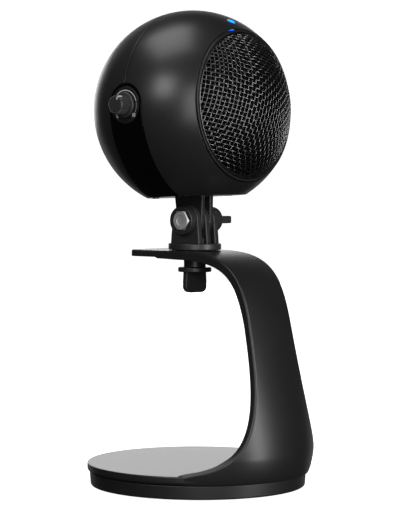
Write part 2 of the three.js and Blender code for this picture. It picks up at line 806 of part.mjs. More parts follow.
function armWall(part, t) {
  const start = tongueWall + tongueStep + fit;
  if (part === 'tongue') {
    const y = tongueEnd + t * (bendStart - tongueEnd);
    if (y > tongueStepY) return tongueWall;
    const grown = THREE.MathUtils.smoothstep(tongueStepY - y, 0, tongueStepY - bendStart);
    return tongueWall + tongueStep + fit * grown;
  }
  if (part === 'bend') {
    const rise = Math.sin(Math.PI * t) * (bendWall - start);
    return start + rise + (legWall - start) * t;
  }
  return legWall;
}

// Depth of the crowned outer face below its middle line, at a distance x from it.
function crownDrop(x, z) {
  const curvature = (1 - Math.min(1, z / tongueTop) ** crownFade) / crownRadius;
  return (x * x * curvature) / (1 + Math.sqrt(Math.max(0, 1 - (x * curvature) ** 2)));
}

// Stations down the arm: where each cross-section stands and how big it is.
function armStations() {
  const line = armLine();
  const counts = { tongue: 9, bend: 10, leg: 10, tuck: 5 };
  const stations = [];
  for (const [part, count] of Object.entries(counts)) {
    const first = part === 'tongue' ? 0 : 1;
    for (let i = first; i <= count; i += 1) {
      // stations on the tongue crowd towards its rounded end
      const t = part === 'tongue' ? (i / count) ** 2 : i / count;
      const at = line[part].getPoint(t);
      const tangent = line[part].getTangent(t);
      const halfWidth = armHalfWidth(part, t, at.y);
      const wall = armWall(part, t);
      const inward = new THREE.Vector2(-tangent.y, tangent.x);
      // under the bulge the crown stays level, so that neighbouring sections never cross
      const crown = part === 'tuck' ? new THREE.Vector2(1, 0) : inward;
      stations.push({ at, inward, crown, halfWidth, wall });
    }
  }
  return stations;
}

// Cross-section outline: across the outer face, round the edge, back along the inner face.
function armSection(halfWidth, wall) {
  const across = 6;
  const outer = [];
  const inner = [];
  for (let i = 0; i <= across; i += 1) {
    const x = (2 * i) / across - 1;
    outer.push([x * (halfWidth - edgeBevel), 0]);
    inner.push([-x * (halfWidth - edgeBevel / 2), wall]);
  }
  const right = [[halfWidth, edgeBevel], [halfWidth, wall - edgeBevel / 2]];
  const left = [[-halfWidth, wall - edgeBevel / 2], [-halfWidth, edgeBevel]];
  return [...outer, ...right, ...inner, ...left];
}

function armStrip() {
  const stations = armStations();
  const around = armSection(1, 1).length;
  const last = stations.length + 1;
  const surface = (u, v, target) => {
    const row = Math.round(v * last);
    const station = stations[Math.min(Math.max(row - 1, 0), stations.length - 1)];
    const outline = armSection(station.halfWidth, station.wall);
    const closed = row === 0 || row === last;
    const [x, depth] = closed ? [0, station.wall / 2] : outline[Math.round(u * around) % around];
    const drop = crownDrop(x, station.at.y);
    const place = station.at.clone();
    place.addScaledVector(station.inward, depth).addScaledVector(station.crown, drop);
    target.set(x, place.x, place.y);
  };
  return solid(new ParametricGeometry(surface, around, last));
}

function baseScrewSpots() {
  return Array.from({ length: baseScrewCount }, (unused, i) => {
    const angle = Math.PI / 2 + (2 * Math.PI * i) / baseScrewCount;
    return [(baseScrewCircle / 2) * Math.cos(angle), (baseScrewCircle / 2) * Math.sin(angle)];
  });
}

function basePlate() {
  const radius = plateDiameter / 2;
  const lower = Array.from({ length: 4 }, (unused, i) => {
    const angle = ((i / 3) * Math.PI) / 2;
    const out = radius - plateRound + plateRound * Math.sin(angle);
    return [out, plateBottom + plateRound - plateRound * Math.cos(angle)];
  });
  const edge = [[radius, plateTop - plateEdge], [radius - plateEdge, plateTop]];
  return turned('z', [[0, plateBottom], ...lower, ...edge, [0, plateTop]], sides.disc);
}

function arm() {
  let body = armStrip().intersect(above(plateBottom)).add(basePlate());
  const below = tongueTop - 2 * bendWall;
  const over = tongueTop + 1;
  const hole = bar('z', boltDiameter / 2 + fit, below, over, vec(0, mountY, 0), sides.peg);
  body = body.subtract(hole);
  for (const [x, y] of baseScrewSpots()) {
    body = body.subtract(bar('z', screw.shank + fit, 0, plateTop - 1, vec(x, y, 0), sides.screw));
  }
  return body;
}

// ---------------------------------------------------------------- base weight, pad, screws
function baseWeight() {
  const bottom = padProud;
  const top = padProud + weightThickness;
  const recess = padHeight + fit;
  let body = turned('z', [
    [0, recess],
    [padDiameter / 2 + fit, recess],
    [padDiameter / 2 + fit, bottom],
    [weightBottomDiameter / 2, bottom],
    [weightTopDiameter / 2, top - fit],
    [weightTopDiameter / 2 - fit, top],
    [0, top],
  ], sides.disc);
  for (const [x, y] of baseScrewSpots()) {
    const at = vec(x, y, 0);
    body = body
      .subtract(bar('z', screw.shank + fit, 0, top + 1, at, sides.screw))
      .subtract(bar('z', screw.head + fit, 0, recess + counterbore, at, sides.screw));
  }
  return body;
}

function basePad() {
  return turned('z', [
    [0, 0],
    [padDiameter / 2 - fit, 0],
    [padDiameter / 2, fit],
    [padDiameter / 2, padHeight],
    [0, padHeight],
  ], sides.disc);
}

function baseScrew([x, y]) {
  return upwardScrew().translate([x, y, padHeight + fit + counterbore - fit]);
}

// ---------------------------------------------------------------- assembly
const microphone = new THREE.Group();

const stand = new THREE.Group();
stand.add(mesh('arm', arm(), satinArm));
stand.add(mesh('base_weight', baseWeight(), ironBlack));
stand.add(mesh('base_pad', basePad(), rubberBlack));
baseScrewSpots().forEach((spot, i) => {
  stand.add(mesh(`base_screw_${i + 1}`, baseScrew(spot), nickel));
});
microphone.add(stand);

const tongueScrew = new THREE.Group();
tongueScrew.position.set(0, mountY, 0);
tongueScrew.add(mesh('tongue_thumbscrew', tongueHandle(), mattPlastic));
tongueScrew.add(mesh('tongue_stud', tongueStud(), brightSteel));
microphone.add(tongueScrew);

const swivel = new THREE.Group();
swivel.position.set(0, mountY, tiltAxisZ);
swivel.add(mesh('swivel_mount', swivelMount(), mattPlastic));
swivel.add(mesh('tilt_bolt', tiltBolt(), brightSteel));
swivel.add(mesh('tilt_thumb_nut', tiltKnob(), mattPlastic));
swivel.add(mesh('tilt_nut_insert', tiltInsert(), brass));
microphone.add(swivel);

// The head turns about the tilt axis; its pieces are placed from the ball's centre.
const tilting = new THREE.Group();
tilting.position.set(0, mountY, tiltAxisZ);
tilting.rotation.x = THREE.MathUtils.degToRad(-headTilt);
const head = new THREE.Group();
head.position.set(0, -footY, -pivotZ);
tilting.add(head);
microphone.add(tilting);

head.add(mesh('front_shell', frontShell(), satinShell));
head.add(mesh('rear_shell', rearShell(), satinShell));
head.add(mesh('side_band', sideBand(), glossBlack));
head.add(mesh('grille_bezel', grilleBezel(), mattPlastic));
head.add(mesh('grille_mesh', dome(meshOuterSphere, meshInnerSphere, meshRim, 6, 40), wireSteel));
const foamOuter = meshInnerSphere - fit;
head.add(mesh('acoustic_foam', dome(foamOuter, foamOuter - foamThickness, foamRim, 4, 28), foamGrey));
head.add(mesh('capsule_plate', capsulePlate(), mattPlastic));
head.add(mesh('capsule_ring', capsuleRing(), rubberBlack));
head.add(mesh('mic_capsule', micCapsule(), nickel));
head.add(mesh('main_board', mainBoard(), boardGreen));
head.add(mesh('usb_socket', usbSocket(), nickel));
head.add(mesh('headphone_jack', headphoneJack(), mattPlastic));
head.add(mesh('led_lens', ledLens(), ledBlue));
head.add(mesh('led_board', ledBoard(), boardGreen));
head.add(mesh('chassis', chassis(), mattPlastic));
head.add(mesh('foot', foot(), mattPlastic));
for (const [name, side] of [['gain', -1], ['volume', 1]]) {
  head.add(mesh(`${name}_dial`, dialPlate(side), dialPlastic));
  head.add(mesh(`${name}_pot`, pot(side), nickel));
  head.add(mesh(`${name}_knob`, knob(side), knobPlastic));
}
floorScrewSpots().forEach((spot, i) => {
  head.add(mesh(`floor_screw_${i + 1}`, floorScrew(spot), nickel));
});
boardScrewSpots().forEach((spot, i) => {
  head.add(mesh(`board_screw_${i + 1}`, boardScrew(spot), nickel));
});

export default microphone;
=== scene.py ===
import bmesh
import bpy
import json
import math
from mathutils import Matrix, Vector


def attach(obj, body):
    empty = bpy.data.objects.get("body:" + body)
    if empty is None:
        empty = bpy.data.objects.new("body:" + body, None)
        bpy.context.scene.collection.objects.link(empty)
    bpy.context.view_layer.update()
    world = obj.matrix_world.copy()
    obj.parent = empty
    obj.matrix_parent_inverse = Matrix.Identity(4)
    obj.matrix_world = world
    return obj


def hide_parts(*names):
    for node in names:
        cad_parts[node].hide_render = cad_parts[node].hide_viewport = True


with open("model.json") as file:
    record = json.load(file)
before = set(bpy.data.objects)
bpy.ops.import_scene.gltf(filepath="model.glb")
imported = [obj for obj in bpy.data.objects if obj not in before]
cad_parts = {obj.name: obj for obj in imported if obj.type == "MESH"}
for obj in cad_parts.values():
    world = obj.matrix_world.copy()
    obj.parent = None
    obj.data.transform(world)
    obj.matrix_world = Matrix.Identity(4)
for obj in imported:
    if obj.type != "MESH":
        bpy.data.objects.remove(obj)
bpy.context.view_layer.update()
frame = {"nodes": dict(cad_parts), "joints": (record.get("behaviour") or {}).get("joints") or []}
scene = bpy.context.scene
joints = {joint["name"]: joint for joint in frame["joints"]}

# Pieces are drawn in millimetres and become metres when they are finished.
# Head pieces are drawn about the ball's centre, mount pieces about the tilt axis.
headLayout = {
    "tilt": 3.2,  # degrees, grille looking slightly up
    "gainAxis": (-47.6, 2.5, 1.5),  # where the gain knob turns, from the ball's centre
    "lampTilt": 32,  # degrees the light leans forward of straight up
}
headTurn = Matrix.Rotation(math.radians(-headLayout["tilt"]), 4, "X")
gainAxis = Vector(joints["gain_turn"]["pos_m"]) * 1000
ballCentre = gainAxis - headTurn @ Vector(headLayout["gainAxis"])
headPlace = Matrix.Translation(ballCentre) @ headTurn
tiltAxis = Vector(joints["head_tilt"]["pos_m"]) * 1000
mountPlace = Matrix.Translation(tiltAxis)
screwAxis = Vector(joints["tongue_screw_turn"]["pos_m"]) * 1000
screwPlace = Matrix.Translation((screwAxis.x, screwAxis.y, 0))
upright = Matrix.Identity(4)
fit = 0.3  # gap between neighbouring pieces
print("frame loaded, ball centre", tuple(round(v, 3) for v in ballCentre))


# ---- finishes
def nodeIn(tree, kind, **inputs):
    node = tree.nodes.new(kind)
    for key, value in inputs.items():
        node.inputs[key.replace("_", " ")].default_value = value
    return node


# Noise on object coordinates: a slow change of colour and gloss, and a fine bump.
def surface(name, look):
    material = bpy.data.materials.new(name)
    material.use_nodes = True
    tree = material.node_tree
    shader = tree.nodes["Principled BSDF"]
    shader.inputs["Metallic"].default_value = look.get("metal", 0.0)
    shader.inputs["Specular IOR Level"].default_value = look.get("specular", 0.5)
    shader.inputs["Coat Weight"].default_value = look.get("coat", 0.0)
    shader.inputs["Coat Roughness"].default_value = look.get("coatRough", 0.1)
    shader.inputs["Sheen Weight"].default_value = look.get("sheen", 0.0)
    place = tree.nodes.new("ShaderNodeTexCoord").outputs["Object"]
    if "stretch" in look:
        mapping = tree.nodes.new("ShaderNodeMapping")
        mapping.inputs["Scale"].default_value = look["stretch"]
        tree.links.new(place, mapping.inputs["Vector"])
        place = mapping.outputs["Vector"]
    slow = nodeIn(tree, "ShaderNodeTexNoise", Scale=look.get("slow", 60), Detail=3.0)
    fine = nodeIn(tree, "ShaderNodeTexNoise", Scale=look.get("fine", 1800), Detail=2.0)
    for texture in (slow, fine):
        tree.links.new(place, texture.inputs["Vector"])
    spread = look.get("spread", 0.18)
    tint = tree.nodes.new("ShaderNodeMix")
    tint.data_type = "RGBA"
    tint.inputs[6].default_value = [c * (1 - spread) for c in look["base"]] + [1]
    tint.inputs[7].default_value = [min(1, c * (1 + spread)) for c in look["base"]] + [1]
    tree.links.new(slow.outputs["Fac"], tint.inputs["Factor"])
    tree.links.new(tint.outputs[2], shader.inputs["Base Color"])
    rough = tree.nodes.new("ShaderNodeMapRange")
    rough.inputs["To Min"].default_value = look["rough"] - look.get("roughSpread", 0.05)
    rough.inputs["To Max"].default_value = look["rough"] + look.get("roughSpread", 0.05)
    tree.links.new(fine.outputs["Fac"], rough.inputs["Value"])
    tree.links.new(rough.outputs["Result"], shader.inputs["Roughness"])
    height = fine.outputs["Fac"]
    if look.get("cells"):
        cells = nodeIn(tree, "ShaderNodeTexVoronoi", Scale=look["cells"])
        tree.links.new(place, cells.inputs["Vector"])
        height = cells.outputs["Distance"]
    bump = nodeIn(tree, "ShaderNodeBump", Strength=look.get("bump", 0.2))
    bump.inputs["Distance"].default_value = look.get("depth", 0.00005)
    tree.links.new(height, bump.inputs["Height"])
    tree.links.new(bump.outputs["Normal"], shader.inputs["Normal"])
    if "glow" in look:
        shader.inputs["Emission Color"].default_value = look["glow"]
        shader.inputs["Emission Strength"].default_value = look["glowStrength"]
    return material


looks = {
    "shellPaint": {"base": (0.016, 0.016, 0.0168), "rough": 0.33, "fine": 1500, "bump": 0.12},
    "armPaint": {"base": (0.014, 0.014, 0.0148), "rough": 0.37, "fine": 2600, "bump": 0.3,
                 "depth": 0.00006},
    "ironPaint": {"base": (0.012, 0.012, 0.0125), "rough": 0.46, "fine": 1600, "bump": 0.35},
    "bandGloss": {"base": (0.002, 0.002, 0.0022), "rough": 0.05, "roughSpread": 0.02, "fine": 500,
                  "bump": 0.01, "specular": 0.2},
    "mountPlastic": {"base": (0.024, 0.024, 0.025), "rough": 0.4, "fine": 2200, "bump": 0.3},
    "bezelPlastic": {"base": (0.006, 0.006, 0.0065), "rough": 0.45, "fine": 1800, "bump": 0.1},
    "innerPlastic": {"base": (0.012, 0.012, 0.012), "rough": 0.55, "fine": 1600, "bump": 0.2},
    "wireSteel": {"base": (0.125, 0.125, 0.13), "rough": 0.3, "metal": 1.0, "slow": 300, "fine": 3000,
                  "bump": 0.1},
    "foamGrey": {"base": (0.004, 0.004, 0.004), "rough": 0.95, "cells": 1400, "bump": 0.9,
                 "depth": 0.0003, "specular": 0.05},
    "rubberBlack": {"base": (0.013, 0.013, 0.013), "rough": 0.85, "fine": 1200, "bump": 0.5},
    "screwSteel": {"base": (0.3, 0.3, 0.31), "rough": 0.34, "metal": 1.0, "fine": 2400},
    "brightSteel": {"base": (0.95, 0.95, 0.95), "rough": 0.55, "metal": 1.0, "slow": 420, "spread": 0.3,
                    "fine": 900, "bump": 0.25, "depth": 0.0001},
    "insertBrass": {"base": (0.6, 0.42, 0.14), "rough": 0.3, "metal": 1.0, "fine": 1500},
    "nickel": {"base": (0.56, 0.56, 0.57), "rough": 0.26, "metal": 1.0, "fine": 1900},
    "boardGreen": {"base": (0.012, 0.075, 0.035), "rough": 0.4, "slow": 500, "spread": 0.35,
                   "fine": 900},
    "boardWhite": {"base": (0.7, 0.7, 0.72), "rough": 0.45, "fine": 900},
    "ledBlue": {"base": (0.0, 0.18, 0.9), "rough": 0.15, "slow": 400, "fine": 900, "bump": 0.05,
                "glow": (0.0, 0.2, 1.0, 1), "glowStrength": 2.4},
    "dialPlastic": {"base": (0.010, 0.010, 0.0105), "rough": 0.4, "fine": 2600, "bump": 0.2},
    "knobPlastic": {"base": (0.036, 0.036, 0.0375), "rough": 0.36, "fine": 2600, "bump": 0.25},
    "printWhite": {"base": (0.75, 0.75, 0.75), "rough": 0.5, "fine": 3000, "bump": 0.1, "spread": 0.04},
    "contactGold": {"base": (0.85, 0.6, 0.22), "rough": 0.25, "metal": 1.0, "fine": 1500},
}
paints = {name: surface(name, look) for name, look in looks.items()}
print("finishes made:", len(paints))


# ---- making and joining shapes
axisTurn = {
    "Z": Matrix.Identity(4),
    "Y": Matrix.Rotation(math.radians(-90), 4, "X"),
    "X": Matrix.Rotation(math.radians(90), 4, "Y"),
}


# Points of a soft corner between two stations, pulled towards the sharp one.
def softCorner(start, corner, end, steps=4):
    points = []
    for i in range(steps + 1):
        t = i / steps
        a, b, c = (1 - t) ** 2, 2 * t * (1 - t), t * t
        points.append(tuple(a * s + b * m + c * e for s, m, e in zip(start, corner, end)))
    return points


# A profile of (radius, station, corner radius) with its corners rounded.
def softProfile(points, closed=False, steps=4):
    count = len(points)
    result = []
    for i, (x, y, radius) in enumerate(points):
        here = Vector((x, y))
        if radius == 0 or (not closed and i in (0, count - 1)):
            result.append((x, y))
            continue
        before = Vector(points[i - 1][:2]) - here
        after = Vector(points[(i + 1) % count][:2]) - here
        reach = min(radius, before.length * 0.49, after.length * 0.49)
        start = here + before.normalized() * reach
        end = here + after.normalized() * reach
        result += softCorner(tuple(start), (x, y), tuple(end), steps)
    return result


def ballArc(radius, start, end, steps):
    first, last = math.asin(start / radius), math.asin(end / radius)
    angles = [first + (last - first) * i / steps for i in range(steps + 1)]
    return [(radius * math.cos(a), radius * math.sin(a)) for a in angles]


# Turns a profile of (radius, station) round an axis. A profile off the axis is a ring.
def lathe(profile, axis="Z", steps=96, place=None):
    bm = bmesh.new()
    verts = [bm.verts.new((radius, 0, station)) for radius, station in profile]
    edges = [bm.edges.new(pair) for pair in zip(verts, verts[1:])]
    if profile[0][0] > 1e-6:
        edges.append(bm.edges.new((verts[-1], verts[0])))
    bmesh.ops.spin(bm, geom=verts + edges, axis=(0, 0, 1), cent=(0, 0, 0), angle=math.tau,
                   steps=steps, use_merge=True)
    bmesh.ops.remove_doubles(bm, verts=bm.verts, dist=1e-4)
    bmesh.ops.dissolve_degenerate(bm, edges=bm.edges, dist=1e-4)
    bm.transform(axisTurn[axis])
    if place is not None:
        bm.transform(Matrix.Translation(place))
    bmesh.ops.recalc_face_normals(bm, faces=bm.faces)
    return bm


# An outline of (across, up) points pushed out along an axis, with its rims softened.
def pushed(outline, start, end, axis="X", rim=0.0, rimSteps=2):
    bm = bmesh.new()
    if axis == "X":
        corners = [(start, a, b) for a, b in outline]
        move = (end - start, 0, 0)
    elif axis == "Y":
        corners = [(a, start, b) for a, b in outline]
        move = (0, end - start, 0)
    else:
        corners = [(a, b, start) for a, b in outline]
        move = (0, 0, end - start)
    face = bm.faces.new([bm.verts.new(corner) for corner in corners])
    made = bmesh.ops.extrude_face_region(bm, geom=[face])
    moved = [item for item in made["geom"] if isinstance(item, bmesh.types.BMVert)]
    bmesh.ops.translate(bm, verts=moved, vec=move)
    bm.faces.ensure_lookup_table()
    bmesh.ops.recalc_face_normals(bm, faces=bm.faces)
    if rim:
        caps = [f for f in bm.faces if len(f.verts) == len(outline) and len(outline) > 4
                or abs(f.normal.dot(Vector(move).normalized())) > 0.99]
        edges = {edge for cap in caps for edge in cap.edges}
        bmesh.ops.bevel(bm, geom=list(edges), offset=rim, segments=rimSteps, profile=0.5,
                        affect="EDGES", offset_type="OFFSET", material=-1, clamp_overlap=True)
    return bm


def blockOf(low, high, rim=0.0):
    bm = bmesh.new()
    bmesh.ops.create_cube(bm, size=1)
    size = [b - a for a, b in zip(low, high)]
    middle = [(a + b) / 2 for a, b in zip(low, high)]
    bm.transform(Matrix.Translation(middle) @ Matrix.Diagonal((*size, 1)))
    if rim:
        bmesh.ops.bevel(bm, geom=list(bm.edges), offset=rim, segments=3, profile=0.5,
                        affect="EDGES", material=-1)
    return bm


def tube(axis, radius, start, end, place=None, steps=40):
    return lathe([(0, start), (radius, start), (radius, end), (0, end)], axis, steps, place)


def join(*shapes):
    first = shapes[0]
    for shape in shapes[1:]:
        mesh = bpy.data.meshes.new("joining")
        shape.to_mesh(mesh)
        shape.free()
        first.from_mesh(mesh)
        bpy.data.meshes.remove(mesh)
    return first


def shapeObject(name, bm):
    mesh = bpy.data.meshes.new(name)
    bm.to_mesh(mesh)
    bm.free()
    made = bpy.data.objects.new(name, mesh)
    scene.collection.objects.link(made)
    return made


# The finished mesh of an object, which is removed with the others given.
def meshOf(holder, *others):
    bpy.context.view_layer.update()
    mesh = bpy.data.meshes.new_from_object(holder.evaluated_get(bpy.context.evaluated_depsgraph_get()))
    result = bmesh.new()
    result.from_mesh(mesh)
    bpy.data.meshes.remove(mesh)
    for used in (holder, *others):
        kind = bpy.data.meshes if used.type == "MESH" else bpy.data.curves
        data = used.data
        bpy.data.objects.remove(used)
        kind.remove(data)
    return result


# Adds, cuts or keeps the common part of two closed shapes.
def carve(bm, tool, operation="DIFFERENCE"):
    body = shapeObject("carved", bm)
    cutter = shapeObject("cutter", tool)
    step = body.modifiers.new("carve", "BOOLEAN")
    step.operation = operation
    step.solver = "EXACT"
    step.object = cutter
    return meshOf(body, cutter)


def finishPiece(name, bm, place, body, replaced, paintNames, angle=32):
    bmesh.ops.remove_doubles(bm, verts=bm.verts, dist=0.0004)
    bmesh.ops.dissolve_degenerate(bm, edges=bm.edges, dist=0.0004)
    bmesh.ops.recalc_face_normals(bm, faces=bm.faces)
    limit = math.radians(angle)
    for face in bm.faces:
        face.smooth = True
    for edge in bm.edges:
        edge.smooth = len(edge.link_faces) == 2 and edge.calc_face_angle(0) < limit
    bm.transform(Matrix.Scale(0.001, 4) @ place)
    piece = shapeObject(name, bm)
    for paintName in paintNames:
        piece.data.materials.append(paints[paintName])
    even = piece.modifiers.new("evenNormals", "WEIGHTED_NORMAL")
    even.keep_sharp = True
    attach(piece, body)
    if replaced:
        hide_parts(*replaced)
    return piece


def mirrorAcross(bm):
    bmesh.ops.scale(bm, vec=(-1, 1, 1), verts=bm.verts)
    bmesh.ops.recalc_face_normals(bm, faces=bm.faces)


def paintFaces(bm, index):
    for face in bm.faces:
        face.material_index = index
    return bm


# ---- head shells
shell = {
    "radius": 45.0,
    "wall": 2.2,
    "seam": 2.5,  # behind the ball's centre
    "opening": 34.1,
    "facet": -39.03,
    "floorTop": -36.83,
    "edge": 0.3,  # softness of the rim and seam
    "bandHalf": 9.5,
    "dialHeight": 1.5,
    "around": 192,
    "lampHole": 2.15,
    "screwHead": 2.5,  # radius of the recess for a screw head
    "screwHole": 1.5,
    "screwSeat": -37.73,
    "screwSpots": (9, 14),  # across, and from the seam
}
sockets = {"mouth": 42.49, "usbX": -9.0, "usbZ": -1.15, "usbHole": (4.8, 1.9), "usbRound": 1.7,
           "jackX": 9.0, "jackZ": 0.05, "jackHole": 3.3}
inner = shell["radius"] - shell["wall"]
rimY = -math.sqrt(shell["radius"] ** 2 - shell["opening"] ** 2)


def bandOutline(half, widen=0.0, steps=28):
    points = [(shell["seam"] - half - widen, -shell["radius"] - 2)]
    if widen:
        points.append((shell["seam"] - half - widen, shell["dialHeight"]))
    for i in range(steps + 1):
        angle = math.pi * (1 - i / steps)
        points.append((shell["seam"] + half * math.cos(angle),
                       shell["dialHeight"] + half * math.sin(angle)))
    if widen:
        points.append((shell["seam"] + half + widen, shell["dialHeight"]))
    points.append((shell["seam"] + half + widen, -shell["radius"] - 2))
    return points


def floorSlab(backOf, frontOf):
    edge = math.sqrt(shell["radius"] ** 2 - shell["floorTop"] ** 2) - 0.02
    low = math.sqrt(shell["radius"] ** 2 - shell["facet"] ** 2) - 0.02
    slab = lathe([(0, shell["facet"]), (low, shell["facet"]), (edge, shell["floorTop"]),
                  (0, shell["floorTop"])],
                 "Z", 96)
    return carve(slab, blockOf((-60, backOf, -60), (60, frontOf, 60)), "INTERSECT")


def floorScrewSpots():
    across, along = shell["screwSpots"]
    return [(x, shell["seam"] + y) for x in (-across, across) for y in (-along, along)]


def screwCutters(frontOnly):
    cutters = []
    for x, y in floorScrewSpots():
        if (y < shell["seam"]) == frontOnly:
            recess = [(0, -42), (shell["screwHead"], -42), (shell["screwHead"], shell["screwSeat"])]
            through = [(shell["screwHole"], shell["screwSeat"]), (shell["screwHole"], -35), (0, -35)]
            cutters.append(lathe(recess + through, "Z", 24, (x, y, 0)))
    return join(*cutters)


def openBelow(bm):
    return carve(bm, blockOf((-60, -60, -80), (60, 60, shell["facet"])))


def frontShell():
    soft = shell["edge"]
    back = shell["seam"] - fit / 2
    innerRim = -math.sqrt(inner ** 2 - shell["opening"] ** 2)
    outerBack = math.sqrt(shell["radius"] ** 2 - back ** 2)
    outer = ballArc(shell["radius"], rimY + soft * 1.2, back - soft, 46)
    seamEdge = softCorner(outer[-1], (outerBack, back), (outerBack - soft, back))
    insideArc = ballArc(inner, back, innerRim, 22)
    rimEdge = softCorner((shell["opening"], rimY + soft * 1.2), (shell["opening"], rimY), outer[0])
    bm = lathe(outer + seamEdge[1:] + insideArc + rimEdge[:-1], "Y", shell["around"])
    bm = openBelow(bm)
    bm = carve(bm, floorSlab(-60, back), "UNION")
    bm = carve(bm, pushed(bandOutline(shell["bandHalf"] + fit), -50, 50))
    lampHole = tube("Z", shell["lampHole"], 38, 47)
    lampHole.transform(Matrix.Rotation(math.radians(headLayout["lampTilt"]), 4, "X"))
    return carve(bm, join(lampHole, screwCutters(True)))


def rearShell():
    soft = shell["edge"]
    front = shell["seam"] + fit / 2
    outerFront = math.sqrt(shell["radius"] ** 2 - front ** 2)
    outer = ballArc(shell["radius"], shell["radius"], front + soft, 60)
    seamEdge = softCorner(outer[-1], (outerFront, front), (outerFront - soft, front))
    insideArc = ballArc(inner, front, inner, 24)
    profile = [(0.0, shell["radius"])] + outer[1:] + seamEdge[1:] + insideArc[:-1] + [(0.0, inner)]
    bm = lathe(profile, "Y", shell["around"])
    bm = openBelow(bm)
    bm = carve(bm, floorSlab(front, 60), "UNION")
    bm = carve(bm, pushed(bandOutline(shell["bandHalf"] + fit), -50, 50))
    (wide, tall), soft = sockets["usbHole"], sockets["usbRound"]
    left, right = sockets["usbX"] - wide, sockets["usbX"] + wide
    low, high = sockets["usbZ"] - tall, sockets["usbZ"] + tall
    usbOutline = softProfile([(left, low, soft), (right, low, soft), (right, high, soft),
                              (left, high, soft)], True)
    jackHole = tube("Y", sockets["jackHole"], 20, 50, (sockets["jackX"], 0, sockets["jackZ"]))
    return carve(bm, join(pushed(usbOutline, 20, 50, "Y"), jackHole, screwCutters(False)))


finishPiece("frontShell", frontShell(), headPlace, "head", ["front_shell"],
            ["shellPaint"])
finishPiece("rearShell", rearShell(), headPlace, "head", ["rear_shell"], ["shellPaint"])
print("shells made")

# ---- glossy band with the dial pockets
band = {"edge": 0.25, "pad": 9.2, "pocket": 8.5, "bushing": 3.8, "padInside": 40.09,
        "pocketFloor": 42.09,
        "footSlot": (4.45, -7.1, 10.1)}  # half width, front, back
dialFace = math.sqrt(shell["radius"] ** 2 - shell["bandHalf"] ** 2)


def sideBand():
    soft = band["edge"]
    low, high = shell["seam"] - shell["bandHalf"], shell["seam"] + shell["bandHalf"]
    outer = ballArc(shell["radius"], low + soft, high - soft, 22)
    reach = [math.sqrt(shell["radius"] ** 2 - y ** 2) for y in (low, high)]
    lowEdge = softCorner((reach[0] - soft, low), (reach[0], low), outer[0])
    highEdge = softCorner(outer[-1], (reach[1], high), (reach[1] - soft, high))
    insideArc = ballArc(inner, high, low, 10)
    bm = lathe(outer + highEdge[1:] + insideArc + lowEdge[:-1], "Y", shell["around"])
    bm = carve(bm, pushed(bandOutline(shell["bandHalf"], 0.5, 40), -50, 50), "INTERSECT")
    bm = openBelow(bm)
    bm = carve(bm, floorSlab(low, high), "UNION")
    at = (0, shell["seam"], shell["dialHeight"])
    for side in (-1, 1):
        span = sorted((side * band["padInside"], side * (dialFace - fit)))
        bm = carve(bm, tube("X", band["pad"], *span, at, 80), "UNION")
        inside, floor = band["padInside"] - 1, band["pocketFloor"]
        pocket = lathe([(0, inside), (band["bushing"], inside), (band["bushing"], floor),
                        (band["pocket"], floor), (band["pocket"], 47), (0, 47)], "X", 80, at)
        if side < 0:
            mirrorAcross(pocket)
        bm = carve(bm, pocket)
    half, front, back = band["footSlot"]
    return carve(bm, blockOf((-half, front, -45), (half, back, -30)))


finishPiece("sideBand", sideBand(), headPlace, "head", ["side_band"], ["bandGloss"])
print("band made")

# ---- bezel, woven grille and foam
grille = {
    "bezelOuter": 33.8,
    "bezelInner": 32.6,
    "bezelFront": rimY - 0.7,
    "ledge": 30.5,
    "ledgeFront": -28.84,
    "bezelBack": -26.84,
    "sphere": 43.9,  # middle of the wires
    "rim": 32.2,
    "pitch": 2.0,  # spacing of the wires along each other
    "wire": 0.21,  # radius
    "weave": 0.22,  # how far a wire steps over and under
    "turn": 16.3,  # degrees the net is turned about the grille's axis
    "reach": 24,  # wires each side of the middle
    "hoop": 0.38,  # radius of the ring that holds the wires' ends
    "hoopInset": 0.15,
}
g = grille
bezelProfile = softProfile([
    (g["bezelInner"], g["bezelFront"], 0.35), (g["bezelOuter"], g["bezelFront"], 0.45),
    (g["bezelOuter"], g["bezelBack"], 0.2), (g["ledge"], g["bezelBack"], 0.2),
    (g["ledge"], g["ledgeFront"], 0.3), (g["bezelInner"], g["ledgeFront"], 0.1)], True)
finishPiece("grilleBezel", lathe(bezelProfile, "Y", 160), headPlace, "head",
            ["grille_bezel"], ["bezelPlastic"])


# A square net of equal steps laid on the dome, as woven wire shears when it is pressed.
def wireNet():
    step = 2 * math.asin(g["pitch"] / 2 / g["sphere"])
    reach = range(-g["reach"], g["reach"] + 1)
    net = {}
    for i in reach:
        net[i, 0] = Vector((math.sin(i * step), -math.cos(i * step), 0))
        net[0, i] = Vector((0, -math.cos(i * step), math.sin(i * step)))
    for sideX in (-1, 1):
        for sideZ in (-1, 1):
            for i in range(1, g["reach"] + 1):
                for j in range(1, g["reach"] + 1):
                    a = net[sideX * i, sideZ * (j - 1)]
                    b = net[sideX * (i - 1), sideZ * j]
                    old = net[sideX * (i - 1), sideZ * (j - 1)]
                    mirror = a.cross(b).normalized()
                    net[sideX * i, sideZ * j] = old - 2 * old.dot(mirror) * mirror
    turn = Matrix.Rotation(math.radians(g["turn"]), 3, "Y")
    return {key: turn @ point for key, point in net.items()}


